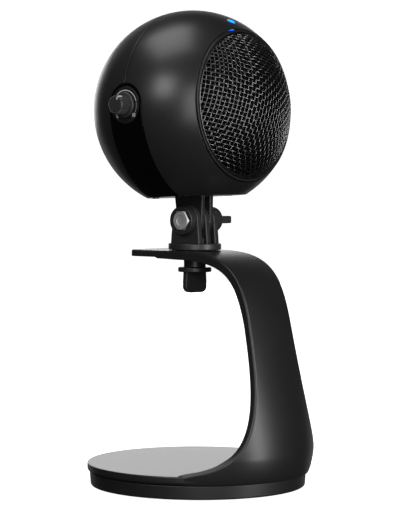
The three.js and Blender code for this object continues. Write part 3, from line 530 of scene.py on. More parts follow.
# Points of one wire inside the rim: over at one crossing, under at the next.
def wirePath(net, key, over):
    path = []
    keys = [key(k) for k in range(-g["reach"], g["reach"] + 1)]
    for k, (here, after) in enumerate(zip(keys, keys[1:])):
        height = g["weave"] * (1 if (sum(here) % 2 == 0) == over else -1)
        path.append(net[here] * (g["sphere"] + height))
        path.append((net[here] + net[after]).normalized() * g["sphere"])
    inside = [p for p in path if math.hypot(p.x, p.z) < g["rim"]]
    if len(inside) < 2:
        return []
    first, last = path.index(inside[0]), path.index(inside[-1])
    ends = []
    for near, far in ((path[first], path[first - 1]), (path[last], path[min(last + 1, len(path) - 1)])):
        r0, r1 = math.hypot(near.x, near.z), math.hypot(far.x, far.z)
        share = (g["rim"] - r0) / (r1 - r0) if r1 > r0 else 0
        ends.append(near.lerp(far, share))
    return [ends[0]] + inside + [ends[1]]


def wovenGrille():
    net = wireNet()
    curve = bpy.data.curves.new("wires", "CURVE")
    curve.dimensions = "3D"
    curve.bevel_depth = g["wire"]
    curve.bevel_resolution = 1
    curve.use_fill_caps = True
    for i in range(-g["reach"], g["reach"] + 1):
        for key, over in ((lambda k: (k, i), True), (lambda k: (i, k), False)):
            path = wirePath(net, key, over)
            if not path:
                continue
            spline = curve.splines.new("POLY")
            spline.points.add(len(path) - 1)
            for point, place in zip(spline.points, path):
                point.co = (*place, 1)
    holder = bpy.data.objects.new("wires", curve)
    scene.collection.objects.link(holder)
    bm = meshOf(holder)
    rimDepth = -math.sqrt(g["sphere"] ** 2 - (g["rim"] - 0.1) ** 2)
    ring = [(g["rim"] - g["hoopInset"] + g["hoop"] * math.cos(a), rimDepth + g["hoop"] * math.sin(a))
            for a in [math.tau * k / 8 for k in range(8)]]
    return join(bm, lathe(ring, "Y", 120))


finishPiece("wovenGrille", wovenGrille(), headPlace, "head", ["grille_mesh"],
            ["wireSteel"], 60)
foam = {"outer": 43.15, "inner": 39.2, "rim": 30.2}
foamOuter = ballArc(foam["outer"], -foam["outer"], -math.sqrt(foam["outer"] ** 2 - foam["rim"] ** 2),
                    26)
foamInner = ballArc(foam["inner"], -math.sqrt(foam["inner"] ** 2 - foam["rim"] ** 2), -foam["inner"],
                    16)
foamProfile = [(0, -foam["outer"])] + foamOuter[1:] + foamInner[:-1] + [(0, -foam["inner"])]
finishPiece("acousticFoam", lathe(foamProfile, "Y", 96), headPlace, "head", ["acoustic_foam"],
            ["foamGrey"])
print("grille made")

# ---- status light on top of the grille
lamp = {"radius": 2.0, "flange": 3.0, "bottom": 40.5, "step": 41.5, "edge": 44.95, "top": 45.12}
lampProfile = softProfile([
    (0, lamp["bottom"], 0), (lamp["flange"], lamp["bottom"], 0.2), (lamp["flange"], lamp["step"], 0.2),
    (lamp["radius"], lamp["step"], 0), (lamp["radius"], lamp["edge"], 0.5), (0, lamp["top"], 0)])
lens = lathe(lampProfile, "Z", 48)
lens.transform(Matrix.Rotation(math.radians(headLayout["lampTilt"]), 4, "X"))
finishPiece("statusLight", lens, headPlace, "head", ["led_lens"], ["ledBlue"])

# ---- dials and knobs, drawn on the +X side
dial = {
    "radius": 8.2,
    "thickness": 1.6,
    "hole": 3.8,
    "arcRadius": 6.5,
    "arcWidth": 0.28,
    "arcStart": 225,  # degrees round the dial, from straight towards the front
    "arcEnd": 12,
    "printHeight": 0.05,
    "numberSize": 2.2,
    "dots": 6,
    "dotRadius": 0.17,
    "dotStep": 8,
}
knob = {
    "skirt": 5.7,
    "skirtHeight": 1.2,
    "radius": 4.2,
    "length": 6.6,
    "flutes": 30,
    "fluteDepth": 0.24,
    "pointerWidth": 0.5,
    "pointerAngle": 152,
    "bore": 3.3,
    "boreDepth": 4.7,
}


# A place on the dial's face: angle 0 is towards the front, 90 is up, seen from outside.
def onDial(radius, angle, x):
    a = math.radians(angle)
    return Vector((x, shell["seam"] - radius * math.cos(a), shell["dialHeight"] + radius * math.sin(a)))


def arcPrint(start, end, x):
    bm = bmesh.new()
    half = dial["arcWidth"] / 2
    ring = [(dial["arcRadius"] + dr, h) for dr, h in ((-half, -0.1), (half, -0.1),
                                                      (half, dial["printHeight"]),
                                                     (-half, dial["printHeight"]))]
    verts = [bm.verts.new((x + h, shell["seam"] - r, shell["dialHeight"])) for r, h in ring]
    face = bm.faces.new(verts)
    bmesh.ops.rotate(bm, verts=bm.verts, cent=(0, shell["seam"], shell["dialHeight"]),
                     matrix=Matrix.Rotation(math.radians(-start), 3, "X"))
    bmesh.ops.spin(bm, geom=[face], axis=(-1, 0, 0), cent=(0, shell["seam"], shell["dialHeight"]),
                   angle=math.radians(end - start), steps=40)
    bmesh.ops.recalc_face_normals(bm, faces=bm.faces)
    return bm


def numberPrint(words, at, size):
    text = bpy.data.curves.new("number", "FONT")
    text.body = words
    text.size = size
    text.extrude = 0.07
    text.resolution_u = 3
    text.align_x = "CENTER"
    text.align_y = "CENTER"
    text.offset = 0.02
    holder = bpy.data.objects.new("number", text)
    scene.collection.objects.link(holder)
    bm = meshOf(holder)
    bmesh.ops.remove_doubles(bm, verts=bm.verts, dist=0.001)
    # flat text faces +Z: stand it up so that it faces +X and reads upright from outside
    bm.transform(Matrix.Translation(at) @ Matrix.Rotation(math.radians(90), 4, "Z")
                 @ Matrix.Rotation(math.radians(90), 4, "X"))
    return bm


def dialPlate(side):
    at = (0, shell["seam"], shell["dialHeight"])
    back = dialFace - dial["thickness"]
    ring = softProfile([(dial["hole"], back, 0), (dial["radius"], back, 0.1),
                        (dial["radius"], dialFace, 0.3),
                        (dial["hole"], dialFace, 0.2)], True)
    bm = lathe(ring, "X", 96, at)
    marks = [arcPrint(dial["arcEnd"], dial["arcStart"], dialFace)]
    for i in range(dial["dots"]):
        angle = dial["arcEnd"] - (i + 1) * dial["dotStep"]
        marks.append(tube("X", dial["dotRadius"], dialFace - 0.1, dialFace + dial["printHeight"],
                          onDial(dial["arcRadius"], angle, 0), 12))
    if side < 0:
        # mirrored onto the -X side, so front and back swap when seen from outside
        for part in (bm, *marks):
            mirrorAcross(part)
    face = side * (dialFace - 0.02)
    for words, angle in (("0", 226), ("10", 314)):
        spot = onDial(6.55, angle, 0)
        if side > 0:
            spot.y = 2 * shell["seam"] - spot.y
        number = numberPrint(words, (0, 0, 0), dial["numberSize"])
        if side < 0:
            number.transform(Matrix.Rotation(math.pi, 4, "Z"))
        number.transform(Matrix.Translation((face, spot.y, spot.z)))
        marks.append(number)
    paintFaces(bm, 0)
    for mark in marks:
        paintFaces(mark, 1)
    return join(bm, *marks)


def knobShape(side):
    base = dialFace + fit
    top = base + knob["length"]
    bm = bmesh.new()
    bmesh.ops.create_circle(bm, cap_ends=True, segments=knob["flutes"] * 4, radius=knob["radius"])
    bm.verts.ensure_lookup_table()
    for i, vert in enumerate(bm.verts):
        if i % 4 in (0, 1):
            vert.co *= 1 - knob["fluteDepth"] / knob["radius"]
    bm.transform(Matrix.Translation((0, 0, base + knob["skirtHeight"] - 0.2)))
    heights = [knob["length"] - knob["skirtHeight"] - 0.5, 0.45, 0.25]
    shrink = [1.0, 0.95, 0.93]
    face = bm.faces[:]
    for rise, scale in zip(heights, shrink):
        made = bmesh.ops.extrude_face_region(bm, geom=face)
        face = [item for item in made["geom"] if isinstance(item, bmesh.types.BMFace)]
        verts = [v for f in face for v in f.verts]
        bmesh.ops.translate(bm, verts=verts, vec=(0, 0, rise))
        bmesh.ops.scale(bm, vec=(scale, scale, 1), verts=verts)
    bmesh.ops.inset_region(bm, faces=face, thickness=0.35, depth=0)
    bmesh.ops.translate(bm, verts=[v for f in face for v in f.verts], vec=(0, 0, -0.12))
    bmesh.ops.recalc_face_normals(bm, faces=bm.faces)
    skirt = lathe(softProfile([(0, base, 0), (knob["skirt"], base, 0.15),
                               (knob["skirt"], base + knob["skirtHeight"], 0.4),
                               (knob["radius"] - 0.4, base + knob["skirtHeight"] + 0.15, 0.1),
                               (0, base + knob["skirtHeight"] + 0.15, 0)]), "Z", 72)
    body = carve(bm, skirt, "UNION")
    bore = tube("Z", knob["bore"], base - 1, base + knob["boreDepth"])
    body = paintFaces(carve(body, bore), 0)
    half = knob["pointerWidth"] / 2
    onFace = blockOf((2.5, -half, top - 0.3), (3.7, half, top + 0.02))
    onSide = blockOf((3.6, -half, top - 2.6), (4.24, half, top - 0.25))
    for mark in (onFace, onSide):
        paintFaces(mark, 1)
    whole = join(body, onFace, onSide)
    whole.transform(Matrix.Rotation(math.radians(knob["pointerAngle"]), 4, "Z"))
    whole.transform(axisTurn["X"])
    if side < 0:
        whole.transform(Matrix.Rotation(math.pi, 4, "Z"))
    whole.transform(Matrix.Translation((0, shell["seam"], shell["dialHeight"])))
    return whole


for control, side in (("gain", -1), ("volume", 1)):
    finishPiece(control + "Dial", dialPlate(side), headPlace, "head",
                [control + "_dial"],
                ["dialPlastic", "printWhite"])
    finishPiece(control + "Knob", knobShape(side), headPlace, control + "_control",
                [control + "_knob"], ["knobPlastic", "printWhite"])
print("light and controls made")

# ---- sockets on the back
socket = {"half": (4.5, 1.6), "round": 1.55, "wall": 0.35, "deep": 6.4, "length": 7.4,
          "tongue": (3.3, 0.35), "contacts": 10, "contactPitch": 0.6}
jack = {"bore": 1.8, "nose": 3.0, "start": 33.5, "body": (3.1, 2.8), "bodyStart": 26.6, "bodyEnd": 38.6,
        "bodyBore": 2.6, "blade": (0.4, 1.5, 1.72)}


def stadium(halfWide, halfTall, radius):
    return softProfile([(-halfWide, -halfTall, radius), (halfWide, -halfTall, radius),
                        (halfWide, halfTall, radius), (-halfWide, halfTall, radius)], True, 6)


def usbSocket():
    mouth, wide, tall = sockets["mouth"], *socket["half"]
    wall, (tongueWide, tongueTall) = socket["wall"], socket["tongue"]
    bm = pushed(stadium(wide, tall, socket["round"]), mouth - socket["length"], mouth, "Y", 0.12)
    bm = carve(bm, pushed(stadium(wide - wall, tall - wall, socket["round"] - 0.2),
                          mouth - socket["deep"],
                          mouth + 1, "Y"))
    paintFaces(bm, 0)
    tongue = paintFaces(blockOf((-tongueWide, mouth - socket["deep"] - 0.3, -tongueTall),
                                (tongueWide, mouth - 0.9, tongueTall), 0.1), 1)
    contacts = []
    for face in (-1, 1):
        for i in range(socket["contacts"]):
            x = (i - (socket["contacts"] - 1) / 2) * socket["contactPitch"]
            z = face * tongueTall
            contacts.append(paintFaces(blockOf((x - 0.14, mouth - 4.6, z - 0.06),
                                               (x + 0.14, mouth - 1.2, z + 0.06)),
                                       2))
    whole = join(bm, tongue, *contacts)
    whole.transform(Matrix.Translation((sockets["usbX"], 0, sockets["usbZ"])))
    return whole


def headphoneJack():
    mouth, bore, outside, start = sockets["mouth"], jack["bore"], jack["nose"], jack["start"]
    ring = softProfile([(bore, start, 0), (bore, mouth, 0.5), (outside, mouth, 0.4), (outside, 35.2, 0),
                        (outside, start, 0)], True)
    nose = paintFaces(lathe(ring, "Y", 56, (0, 0, 0)), 0)
    halfWide, halfTall = jack["body"]
    body = blockOf((-halfWide, jack["bodyStart"], -halfTall), (halfWide, jack["bodyEnd"], halfTall),
                   0.3)
    body = carve(paintFaces(body, 1), tube("Y", jack["bodyBore"], 32.4, 44))
    blades = []
    bladeHalf, bladeIn, bladeOut = jack["blade"]
    for angle in (90, 210, 330):
        blade = blockOf((-bladeHalf, 34.0, bladeIn), (bladeHalf, 37.4, bladeOut), 0.05)
        blade.transform(Matrix.Rotation(math.radians(angle), 4, "Y"))
        blades.append(paintFaces(blade, 2))
    whole = join(nose, body, *blades)
    whole.transform(Matrix.Translation((sockets["jackX"], 0, sockets["jackZ"])))
    return whole


finishPiece("usbSocket", usbSocket(), headPlace, "head", ["usb_socket"],
            ["nickel", "innerPlastic", "contactGold"])
finishPiece("headphoneJack", headphoneJack(), headPlace, "head", ["headphone_jack"],
            ["mountPlastic", "innerPlastic", "contactGold"])

# ---- screws in the flat underside
floorScrew = {"head": 2.2, "shank": 1.2, "thick": 1.3, "bite": 5.0, "recess": 0.7}


def panScrew():
    head, shank, thick = floorScrew["head"], floorScrew["shank"], floorScrew["thick"]
    profile = softProfile([(0, -thick, 0), (head * 0.75, -thick, 0.4), (head, -thick * 0.5, 0.4),
                           (head, 0, 0.05),
                           (shank, 0, 0), (shank, floorScrew["bite"], 0.3), (0, floorScrew["bite"], 0)])
    bm = lathe(profile, "Z", 40)
    recess = floorScrew["recess"]
    for turn in (0, 90):
        slotCut = blockOf((-1.25, -0.26, -thick - 1), (1.25, 0.26, -thick + recess))
        slotCut.transform(Matrix.Rotation(math.radians(turn + 45), 4, "Z"))
        bm = carve(bm, slotCut)
    return bm


for i, (x, y) in enumerate(floorScrewSpots()):
    screw = panScrew()
    screw.transform(Matrix.Rotation(math.radians(31 * i), 4, "Z"))
    screw.transform(Matrix.Translation((x, y, shell["facet"] + floorScrew["thick"] - fit)))
    finishPiece("floorScrew%d" % (i + 1), screw, headPlace, "head",
                ["floor_screw_%d" % (i + 1)],
                ["screwSteel"])
print("sockets and screws made")

# ---- two-finger foot under the ball and three-finger swivel mount
mount = {
    "finger": 2.9,
    "pitch": 5.9,
    "radius": 7.4,
    "rootHalf": 8.4,
    "rise": 10.4,  # tilt axis above the disc
    "disc": 12.0,
    "discThick": 2.9,
    "boss": 6.4,
    "bossDepth": 3.0,
    "flats": 8.4,
    "headThick": 2.6,
    "hole": 2.8,
    "notch": 0.8,
    "rim": 0.45,
}
foot = {"finger": 2.4, "radius": 7.2, "rootHalf": 8.3, "drop": 10.7, "y": 1.5, "flange": (20, 18, 2.5),
        "rim": 0.4}
mountHalf = mount["pitch"] + mount["finger"] / 2


def fingerOutline(radius, rootHalf, root, steps=20):
    points = [(-rootHalf, root)]
    sign = 1 if root < 0 else -1
    for i in range(steps + 1):
        angle = math.pi * (1 - i / steps)
        points.append((radius * math.cos(angle), sign * radius * math.sin(angle)))
    points.append((rootHalf, root))
    return points


def hexBar(flats, start, end, spin=0.0):
    bm = bmesh.new()
    bmesh.ops.create_cone(bm, cap_ends=True, segments=6, radius1=flats / math.sqrt(3),
                          radius2=flats / math.sqrt(3), depth=end - start)
    bm.transform(Matrix.Translation((0, 0, (start + end) / 2)) @ Matrix.Rotation(math.radians(spin), 4,
                                                                                 "Z"))
    bm.transform(axisTurn["X"])
    return bm


def swivelMount():
    bottom = -mount["rise"] - mount["discThick"]
    bm = lathe(softProfile([(0, bottom, 0), (mount["disc"], bottom, 0.5),
                            (mount["disc"], -mount["rise"], 0.5),
                            (0, -mount["rise"], 0)]), "Z", 96)
    outline = fingerOutline(mount["radius"], mount["rootHalf"], -mount["rise"] - 1.2)
    for place in (-1, 0, 1):
        middle = place * mount["pitch"]
        finger = pushed(outline, middle - mount["finger"] / 2, middle + mount["finger"] / 2, "X",
                        mount["rim"], 3)
        bm = carve(bm, finger, "UNION")
    ribX = -mount["pitch"] / 2
    bm = carve(bm, blockOf((ribX - 0.45, -7.4, -mount["rise"] - 1),
                           (ribX + 0.45, 7.4, -mount["rise"] + 2.6), 0.15),
               "UNION")
    outside = -mountHalf - mount["bossDepth"]
    boss = lathe(softProfile([(0, -mountHalf + 1, 0), (mount["boss"], -mountHalf + 1, 0),
                              (mount["boss"], outside, 0.5), (0, outside, 0)]), "X", 72)
    bm = carve(bm, boss, "UNION")
    bm = carve(bm, hexBar(mount["flats"] + 2 * fit, outside - 3, outside + mount["headThick"]))
    bm = carve(bm, tube("X", mount["hole"], -14, 14))
    bm = carve(bm, tube("Z", mount["hole"], bottom - 2, bottom + 2.3))
    for side in (-1, 1):
        notch = blockOf((-mount["notch"], mount["disc"] - mount["notch"], bottom - 1),
                        (mount["notch"], mount["disc"] + 1, -mount["rise"] + 1))
        notch.transform(Matrix.Rotation(math.radians(side * 90 - 39), 4, "Z"))
        bm = carve(bm, notch)
    return bm


def footShape():
    pivotZ = shell["facet"] - foot["drop"]
    bottom = shell["floorTop"] + fit - pivotZ
    wide, deep, thick = foot["flange"]
    bm = blockOf((-wide / 2, -deep / 2, bottom), (wide / 2, deep / 2, bottom + thick), 0.3)
    outline = fingerOutline(foot["radius"], foot["rootHalf"], bottom + 1)
    for side in (-1, 1):
        middle = side * mount["pitch"] / 2
        finger = pushed(outline, middle - foot["finger"] / 2, middle + foot["finger"] / 2, "X",
                        foot["rim"], 3)
        bm = carve(bm, finger, "UNION")
    bm = carve(bm, tube("X", mount["hole"], -14, 14))
    bm.transform(Matrix.Translation((0, foot["y"], pivotZ)))
    return bm


finishPiece("ballFoot", footShape(), headPlace, "head", ["foot"], ["mountPlastic"])
finishPiece("swivelMount", swivelMount(), mountPlace, "swivel", ["swivel_mount"],
            ["mountPlastic"])

# ---- hex bolt, and the knob with a flat paddle on its other end
boltFace = -mountHalf - mount["bossDepth"] - 0.15
bolt = {"shank": 2.5, "headThick": 2.45, "dimple": 2.6, "dimpleDepth": 0.22, "knobRadius": 5.9,
        "knobLength": 6.3, "insertFlats": 8.0, "grip": (5.5, 7.5, 3.0), "gripHalfThick": 1.7}


def tiltBolt():
    face, seat = boltFace, boltFace + bolt["headThick"]
    head = hexBar(mount["flats"], face, seat)
    corner = mount["flats"] / math.sqrt(3)
    cone = lathe([(0, face), (mount["flats"] / 2 - 0.25, face), (corner + 0.3, face + 0.75),
                  (corner + 0.3, seat), (0, seat)], "X", 72)
    head = carve(head, cone, "INTERSECT")
    dimpleFloor = face + bolt["dimpleDepth"]
    dimple = lathe(softProfile([(0, face - 1, 0), (bolt["dimple"], face - 1, 0),
                                (bolt["dimple"] - 0.25, dimpleFloor, 0.2), (0, dimpleFloor, 0)]), "X",
                                56)
    head = carve(head, dimple)
    end = mountHalf + fit + bolt["knobLength"] - 2
    shank = lathe(softProfile([(0, seat - 0.6, 0), (bolt["shank"], seat - 0.6, 0),
                               (bolt["shank"], end, 0.4),
                               (0, end, 0)]), "X", 48)
    return carve(head, shank, "UNION")


def paddleOutline(halfWide, length, corner, rootIn=0.5):
    return softProfile([(-halfWide + rootIn, -1, 0), (-halfWide, length, corner),
                        (halfWide, length, corner), (halfWide - rootIn, -1, 0)], True, 8)


def tiltKnob():
    start = mountHalf + fit
    end = start + bolt["knobLength"]
    bm = lathe(softProfile([(0, start, 0), (bolt["knobRadius"], start, 0.3),
                            (bolt["knobRadius"], end, 1.8),
                            (0, end, 0)]), "X", 72)
    thick = bolt["gripHalfThick"]
    grip = pushed(paddleOutline(*bolt["grip"]), -thick, thick, "Z", 0.6, 3)
    grip.transform(Matrix.Rotation(math.radians(-90), 4, "Z"))  # outline up becomes +X
    grip.transform(Matrix.Translation((end, 0, 0)))
    bm = carve(bm, grip, "UNION")
    bm = carve(bm, hexBar(bolt["insertFlats"] + 2 * fit, start - 1, start + 4.6, 30))
    return carve(bm, tube("X", mount["hole"], start - 1, end - thick))


finishPiece("tiltBolt", tiltBolt(), mountPlace, "swivel", ["tilt_bolt"],
            ["brightSteel"], 24)
finishPiece("tiltKnob", tiltKnob(), mountPlace, "tilt_nut", ["tilt_thumb_nut"],
            ["mountPlastic"])

# ---- thumb screw under the tongue
handle = {"turn": -17, "neck": 5.0, "neckTop": 102.6, "neckBottom": 99.1, "collar": 7.6,
          "collarBottom": 97.0,
          "half": 5.9, "length": 9.4, "corner": 3.4, "thick": 1.6,
          "bore": 2.8, "floor": 0.5, "stud": 2.5, "thread": 0.7}


def tongueScrew():
    h = handle
    bm = lathe(softProfile([(0, h["collarBottom"], 0), (h["collar"], h["collarBottom"], 0.5),
                            (h["collar"], h["neckBottom"], 0.4), (h["neck"], h["neckBottom"], 0.4),
                            (h["neck"], h["neckTop"], 0.3), (0, h["neckTop"], 0)]), "Z", 72)
    grip = pushed(paddleOutline(h["half"], h["length"], h["corner"]), -h["thick"], h["thick"], "Y",
                  0.6, 3)
    grip.transform(Matrix.Rotation(math.pi, 4, "Y"))
    grip.transform(Matrix.Rotation(math.radians(h["turn"]), 4, "Z"))
    grip.transform(Matrix.Translation((0, 0, h["collarBottom"])))
    bm = carve(bm, grip, "UNION")
    return carve(bm, tube("Z", h["bore"], h["collarBottom"] + h["floor"], 110))


# Threaded stud: a stack of shallow ridges between two plain ends.
def tongueStud():
    h = handle
    low = h["collarBottom"] + h["floor"] + fit
    high = max(v.co.z for v in frame["nodes"]["tongue_stud"].data.vertices) * 1000
    count = int((high - low - 1) / h["thread"])
    points = [(0, low, 0), (h["stud"] - 0.3, low, 0)]
    for i in range(count):
        z = low + 0.5 + i * h["thread"]
        points += [(h["stud"] - 0.3, z, 0), (h["stud"], z + h["thread"] * 0.4, 0),
                   (h["stud"], z + h["thread"] * 0.6, 0)]
    return lathe(softProfile(points + [(h["stud"] - 0.3, high - 0.3, 0), (h["stud"] - 0.6, high, 0),
                                       (0, high, 0)]), "Z", 48)


finishPiece("tongueScrew", tongueScrew(), screwPlace, "tongue_screw",
            ["tongue_thumbscrew"],
            ["mountPlastic"])
finishPiece("tongueStud", tongueStud(), screwPlace, "tongue_screw", ["tongue_stud"],
            ["brightSteel"])
print("mount made")

# ---- arm: one bent strip with a crowned outer face, growing out of the round plate
arm = {
    "tongueTop": 106.8,
    "tongueEnd": 28.5,
    "tongueHalf": 15.0,
    "tongueWall": 3.0,
    "step": 0.6,  # the tongue is this much thicker in front of stepY
    "stepY": 13.0,
    "corner": 2.5,
    "bendStart": -2.0,
    "bendHandle": 27.8,
    "bendWall": 4.6,
    "shoulder": (-42.45, 75.0),
    "lean": 13.7,
    "shoulderHandle": 23.6,
    "legHandle": 14.2,
    "legWall": 3.2,
    "legHalf": 14.8,
    "reach": 53.4,
    "bulge": 18.0,
    "tuckHandle": 2.0,
    "flare": 23.3,
    "flareFade": 17.3,
    "toe": 4.8,  # the edges sweep out further just above the plate
    "toeFade": 1.9,
    "crown": 48.5,
    "crownFade": 2.2,
    "edge": 0.9,
    "plate": 50.25,
    "plateBottom": 7.1,
    "plateTop": 10.8,
    "across": 24,
}


def cubic(points, t):
    a, b, c, d = (Vector(p) for p in points)
    s = 1 - t
    at = a * s ** 3 + b * 3 * s * s * t + c * 3 * s * t * t + d * t ** 3
    way = (b - a) * 3 * s * s + (c - b) * 6 * s * t + (d - c) * 3 * t * t
    return at, way.normalized()


def armParts():
    a = arm
    lean = math.radians(a["lean"])
    down = Vector((-math.sin(lean), -math.cos(lean)))
    knee = Vector(a["shoulder"])
    start = Vector((a["bendStart"], a["tongueTop"]))
    end = Vector((a["tongueEnd"], a["tongueTop"]))
    low = Vector((-a["reach"], a["bulge"]))
    tuck = Vector((-a["plate"] + 0.3, a["plateBottom"] - 1))
    return {
        "tongue": (end, end.lerp(start, 1 / 3), end.lerp(start, 2 / 3), start),
        "bend": (start, start - Vector((a["bendHandle"], 0)), knee - down * a["shoulderHandle"], knee),
        "leg": (knee, knee + down * a["legHandle"], low + Vector((0, a["legHandle"])), low),
        "tuck": (low, low - Vector((0, a["tuckHandle"])),
                 Vector((-a["reach"] + 1, a["plateBottom"] + 1.5)), tuck),
    }


def armHalfWidth(part, t, z):
    if part == "tongue":
        corner = max(0.0, arm["corner"] - t * (arm["tongueEnd"] - arm["bendStart"]))
        return arm["tongueHalf"] - arm["corner"] + math.sqrt(max(0, arm["corner"] ** 2 - corner ** 2))
    grown = t if part == "bend" else 1.0
    rise = max(z, arm["plateTop"]) - arm["plateTop"]
    flare = arm["flare"] * math.exp(-rise / arm["flareFade"])
    flare += arm["toe"] * math.exp(-rise / arm["toeFade"])
    return arm["tongueHalf"] + (arm["legHalf"] - arm["tongueHalf"]) * grown + flare * grown


def armWall(part, t):
    start = arm["tongueWall"] + arm["step"] + fit
    if part == "tongue":
        y = arm["tongueEnd"] + t * (arm["bendStart"] - arm["tongueEnd"])
        if y > arm["stepY"]:
            return arm["tongueWall"]
        way = (arm["stepY"] - y) / (arm["stepY"] - arm["bendStart"])
        return arm["tongueWall"] + arm["step"] + fit * way * way * (3 - 2 * way)
    if part == "bend":
        return start + math.sin(math.pi * t) * (arm["bendWall"] - start) + (arm["legWall"] - start) * t
    return arm["legWall"]


def crownDrop(x, z):
    bend = (1 - min(1, z / arm["tongueTop"]) ** arm["crownFade"]) / arm["crown"]
    return x * x * bend / (1 + math.sqrt(max(0, 1 - (x * bend) ** 2)))


# Round the strip: outer face, soft edge, side, inner face and back, as (across, depth).
def armSection(half, wall):
    edge, small = arm["edge"], 0.45
    outer = [((2 * i / arm["across"] - 1) * (half - edge), 0) for i in range(arm["across"] + 1)]
    right = softCorner((half - edge, 0), (half, 0), (half, edge), 5)[1:]
    rightIn = softCorner((half, wall - small), (half, wall), (half - small, wall), 3)
    innerFace = [(-(2 * i / arm["across"] - 1) * (half - small), wall) for i in range(1, arm["across"])]
    leftIn = [(-x, d) for x, d in reversed(rightIn)]
    left = [(-x, d) for x, d in reversed(right)]
    return outer + right + rightIn + innerFace + leftIn + left


def armStations():
    stations = []
    for part, count in (("tongue", 30), ("bend", 40), ("leg", 40), ("tuck", 14)):
        curve = armParts()[part]
        for i in range(0 if part == "tongue" else 1, count + 1):
            t = (i / count) ** 2 if part == "tongue" else i / count
            at, way = cubic(curve, t)
            inward = Vector((-way.y, way.x))
            crownWay = Vector((1, 0)) if part == "tuck" else inward
            stations.append((at, inward, crownWay, armHalfWidth(part, t, at.y), armWall(part, t)))
    return stations


def armStrip():
    stations = armStations()
    around = len(armSection(10, 3))
    bm = bmesh.new()
    bmesh.ops.create_grid(bm, x_segments=around, y_segments=len(stations) - 1, size=1)
    bm.verts.ensure_lookup_table()
    order = sorted(bm.verts, key=lambda v: (round(v.co.y, 5), v.co.x))
    for row, (at, inward, crownWay, half, wall) in enumerate(stations):
        section = armSection(half, wall)
        for column in range(around + 1):
            x, depth = section[column % around]
            place = at + inward * depth + crownWay * crownDrop(x, at.y)
            order[row * (around + 1) + column].co = (x, place.x, place.y)
    bmesh.ops.remove_doubles(bm, verts=bm.verts, dist=0.001)
    rims = [edge for edge in bm.edges if edge.is_boundary]
    bmesh.ops.holes_fill(bm, edges=rims, sides=0)
    bmesh.ops.recalc_face_normals(bm, faces=bm.faces)
    return bm


def armShape():
    strip = carve(armStrip(), blockOf((-80, -90, -20), (80, 60, arm["plateBottom"])))
    plate = lathe(softProfile([(0, arm["plateBottom"], 0), (arm["plate"], arm["plateBottom"], 1.5),
                               (arm["plate"], arm["plateTop"], 0.6), (0, arm["plateTop"], 0)], False,
                               6), "Z", 160)
    whole = carve(plate, strip, "UNION")
    whole = carve(whole, tube("Z", 2.8, 95, 110, (0, screwAxis.y, 0)))
    return whole


finishPiece("arm", armShape(), upright, "base", ["arm"], ["armPaint"], 28)

# ---- base weight and rubber pad
base = {"topRadius": 49.2, "bottomRadius": 48.7, "bottom": 0.6, "top": 6.8, "padRadius": 44.0,
        "padHeight": 1.8,
        "grooves": 4, "grooveDepth": 0.5}
weightProfile = softProfile([(0, 2.1, 0), (44.3, 2.1, 0), (44.3, base["bottom"], 0.3),
                             (base["bottomRadius"], base["bottom"], 0.8),
                             (base["topRadius"], base["top"], 0.5),
                             (0, base["top"], 0)])
finishPiece("baseWeight", lathe(weightProfile, "Z", 160), upright, "base", ["base_weight"],
            ["ironPaint"])
padPoints = [(0, 0, 0)]
for i in range(base["grooves"]):
    r = 12 + i * 9
    padPoints += [(r, 0, 0.1), (r + 0.5, base["grooveDepth"], 0.1), (r + 1.5, base["grooveDepth"], 0.1),
                  (r + 2, 0, 0.1)]
padPoints += [(base["padRadius"], 0, 0.4), (base["padRadius"], base["padHeight"], 0),
              (0, base["padHeight"], 0)]
finishPiece("basePad", lathe(softProfile(padPoints), "Z", 120), upright, "base", ["base_pad"],
            ["rubberBlack"])
print("arm and base made")

# ---- CAD pieces that keep their own shape
carried = {
    "innerPlastic": ["capsule_plate", "chassis"],
    "rubberBlack": ["capsule_ring"],
    "nickel": ["mic_capsule", "gain_pot", "volume_pot", "board_screw_1", "board_screw_2",
               "board_screw_3",
               "board_screw_4"],
    "screwSteel": ["base_screw_1", "base_screw_2", "base_screw_3"],
    "boardGreen": ["main_board"],
    "boardWhite": ["led_board"],
    "insertBrass": ["tilt_nut_insert"],
}
for paintName, names in carried.items():
    for name in names:
        materials = frame["nodes"][name].data.materials
        if len(materials) == 0:
            materials.append(paints[paintName])
        for i in range(len(materials)):
            materials[i] = paints[paintName]
print("inner pieces painted")

# ---- floor, light and camera
studio = {
    "eye": (-0.7382, -0.5976, 0.147),
    "aim": (0.00182, -0.00225, 0.1042),
    "roll": 0.22,  # degrees
    "lens": 147.5,
    "ambient": 0.012,
    "white": 1.0,  # brightness of the floor and of the backdrop that the camera sees
    "floorSize": 1.6,
    "domeSize": 4.0,
}
lights = {
    # name: (direction from the object, distance, width, height, radiance)
    "topSoftbox": ((-0.19, 0.24, 0.95), 1.4, 1.0, 0.8, 3.27),
    "leftSoftbox": ((-0.906, -0.06, 0.45), 1.5, 0.5, 0.5, 8.0),
    "rightSoftbox": ((0.09, -0.99, 0.10), 1.6, 0.3, 1.3, 13.74),
    "frontFill": ((-0.74, -0.67, 0.12), 1.9, 0.8, 1.2, 4.09),
    "backdropLight": ((0.777, 0.629, 0.14), 1.7, 1.8, 0.5, 2.5),
    "rimLight": ((0.777, 0.629, 0.12), 1.9, 3.0, 2.0, 0.3),
}
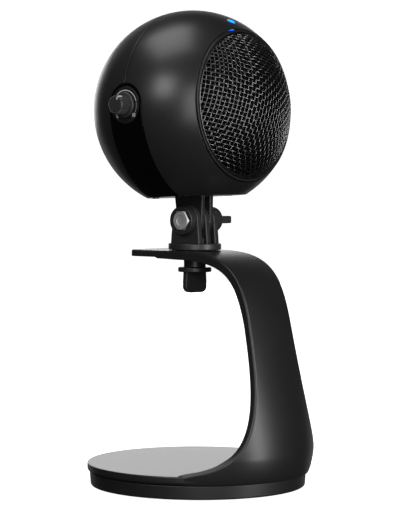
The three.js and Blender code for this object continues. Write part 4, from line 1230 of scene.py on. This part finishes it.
scene.view_settings.view_transform = "Standard"
world = bpy.data.worlds.new("studioWorld")
world.use_nodes = True
scene.world = world
background = world.node_tree.nodes["Background"]
background.inputs["Color"].default_value = (1, 1, 1, 1)
background.inputs["Strength"].default_value = studio["ambient"]


# Stage pieces are plain white to the camera and leave the object's own light alone.
def stagePiece(name, bm):
    piece = shapeObject(name, bm)
    white = surface(name + "White", {"base": (0.9, 0.9, 0.9), "rough": 0.8, "spread": 0.01,
                                     "bump": 0.02,
                                     "glow": (1, 1, 1, 1), "glowStrength": studio["white"]})
    piece.data.materials.append(white)
    for ray in ("diffuse", "glossy", "transmission", "volume_scatter", "shadow"):
        setattr(piece, "visible_" + ray, False)


floorMesh = bmesh.new()
bmesh.ops.create_circle(floorMesh, cap_ends=True, segments=96, radius=studio["floorSize"])
stagePiece("floor", floorMesh)
domeMesh = bmesh.new()
bmesh.ops.create_uvsphere(domeMesh, u_segments=32, v_segments=16, radius=studio["domeSize"])
bmesh.ops.reverse_faces(domeMesh, faces=domeMesh.faces)
stagePiece("backdrop", domeMesh)

middle = Vector((0, 0, 0.12))
for name, (way, distance, width, height, radiance) in lights.items():
    lightData = bpy.data.lights.new(name, "AREA")
    lightData.shape = "RECTANGLE"
    lightData.size, lightData.size_y = width, height
    lightData.energy = radiance * width * height * math.pi
    light = bpy.data.objects.new(name, lightData)
    light.location = middle + Vector(way).normalized() * distance
    light.rotation_euler = (-Vector(way)).to_track_quat("-Z", "Y").to_euler()
    light.visible_camera = False
    scene.collection.objects.link(light)

cameraData = bpy.data.cameras.new("camera")
cameraData.lens = studio["lens"]
cameraData.sensor_width = 36
cameraData.clip_start = 0.05
camera = bpy.data.objects.new("camera", cameraData)
camera.location = studio["eye"]
looking = (Vector(studio["aim"]) - Vector(studio["eye"])).to_track_quat("-Z", "Y").to_matrix()
camera.rotation_euler = (looking @ Matrix.Rotation(math.radians(studio["roll"]), 3, "Z")).to_euler()
scene.collection.objects.link(camera)
scene.camera = camera
print("studio set")
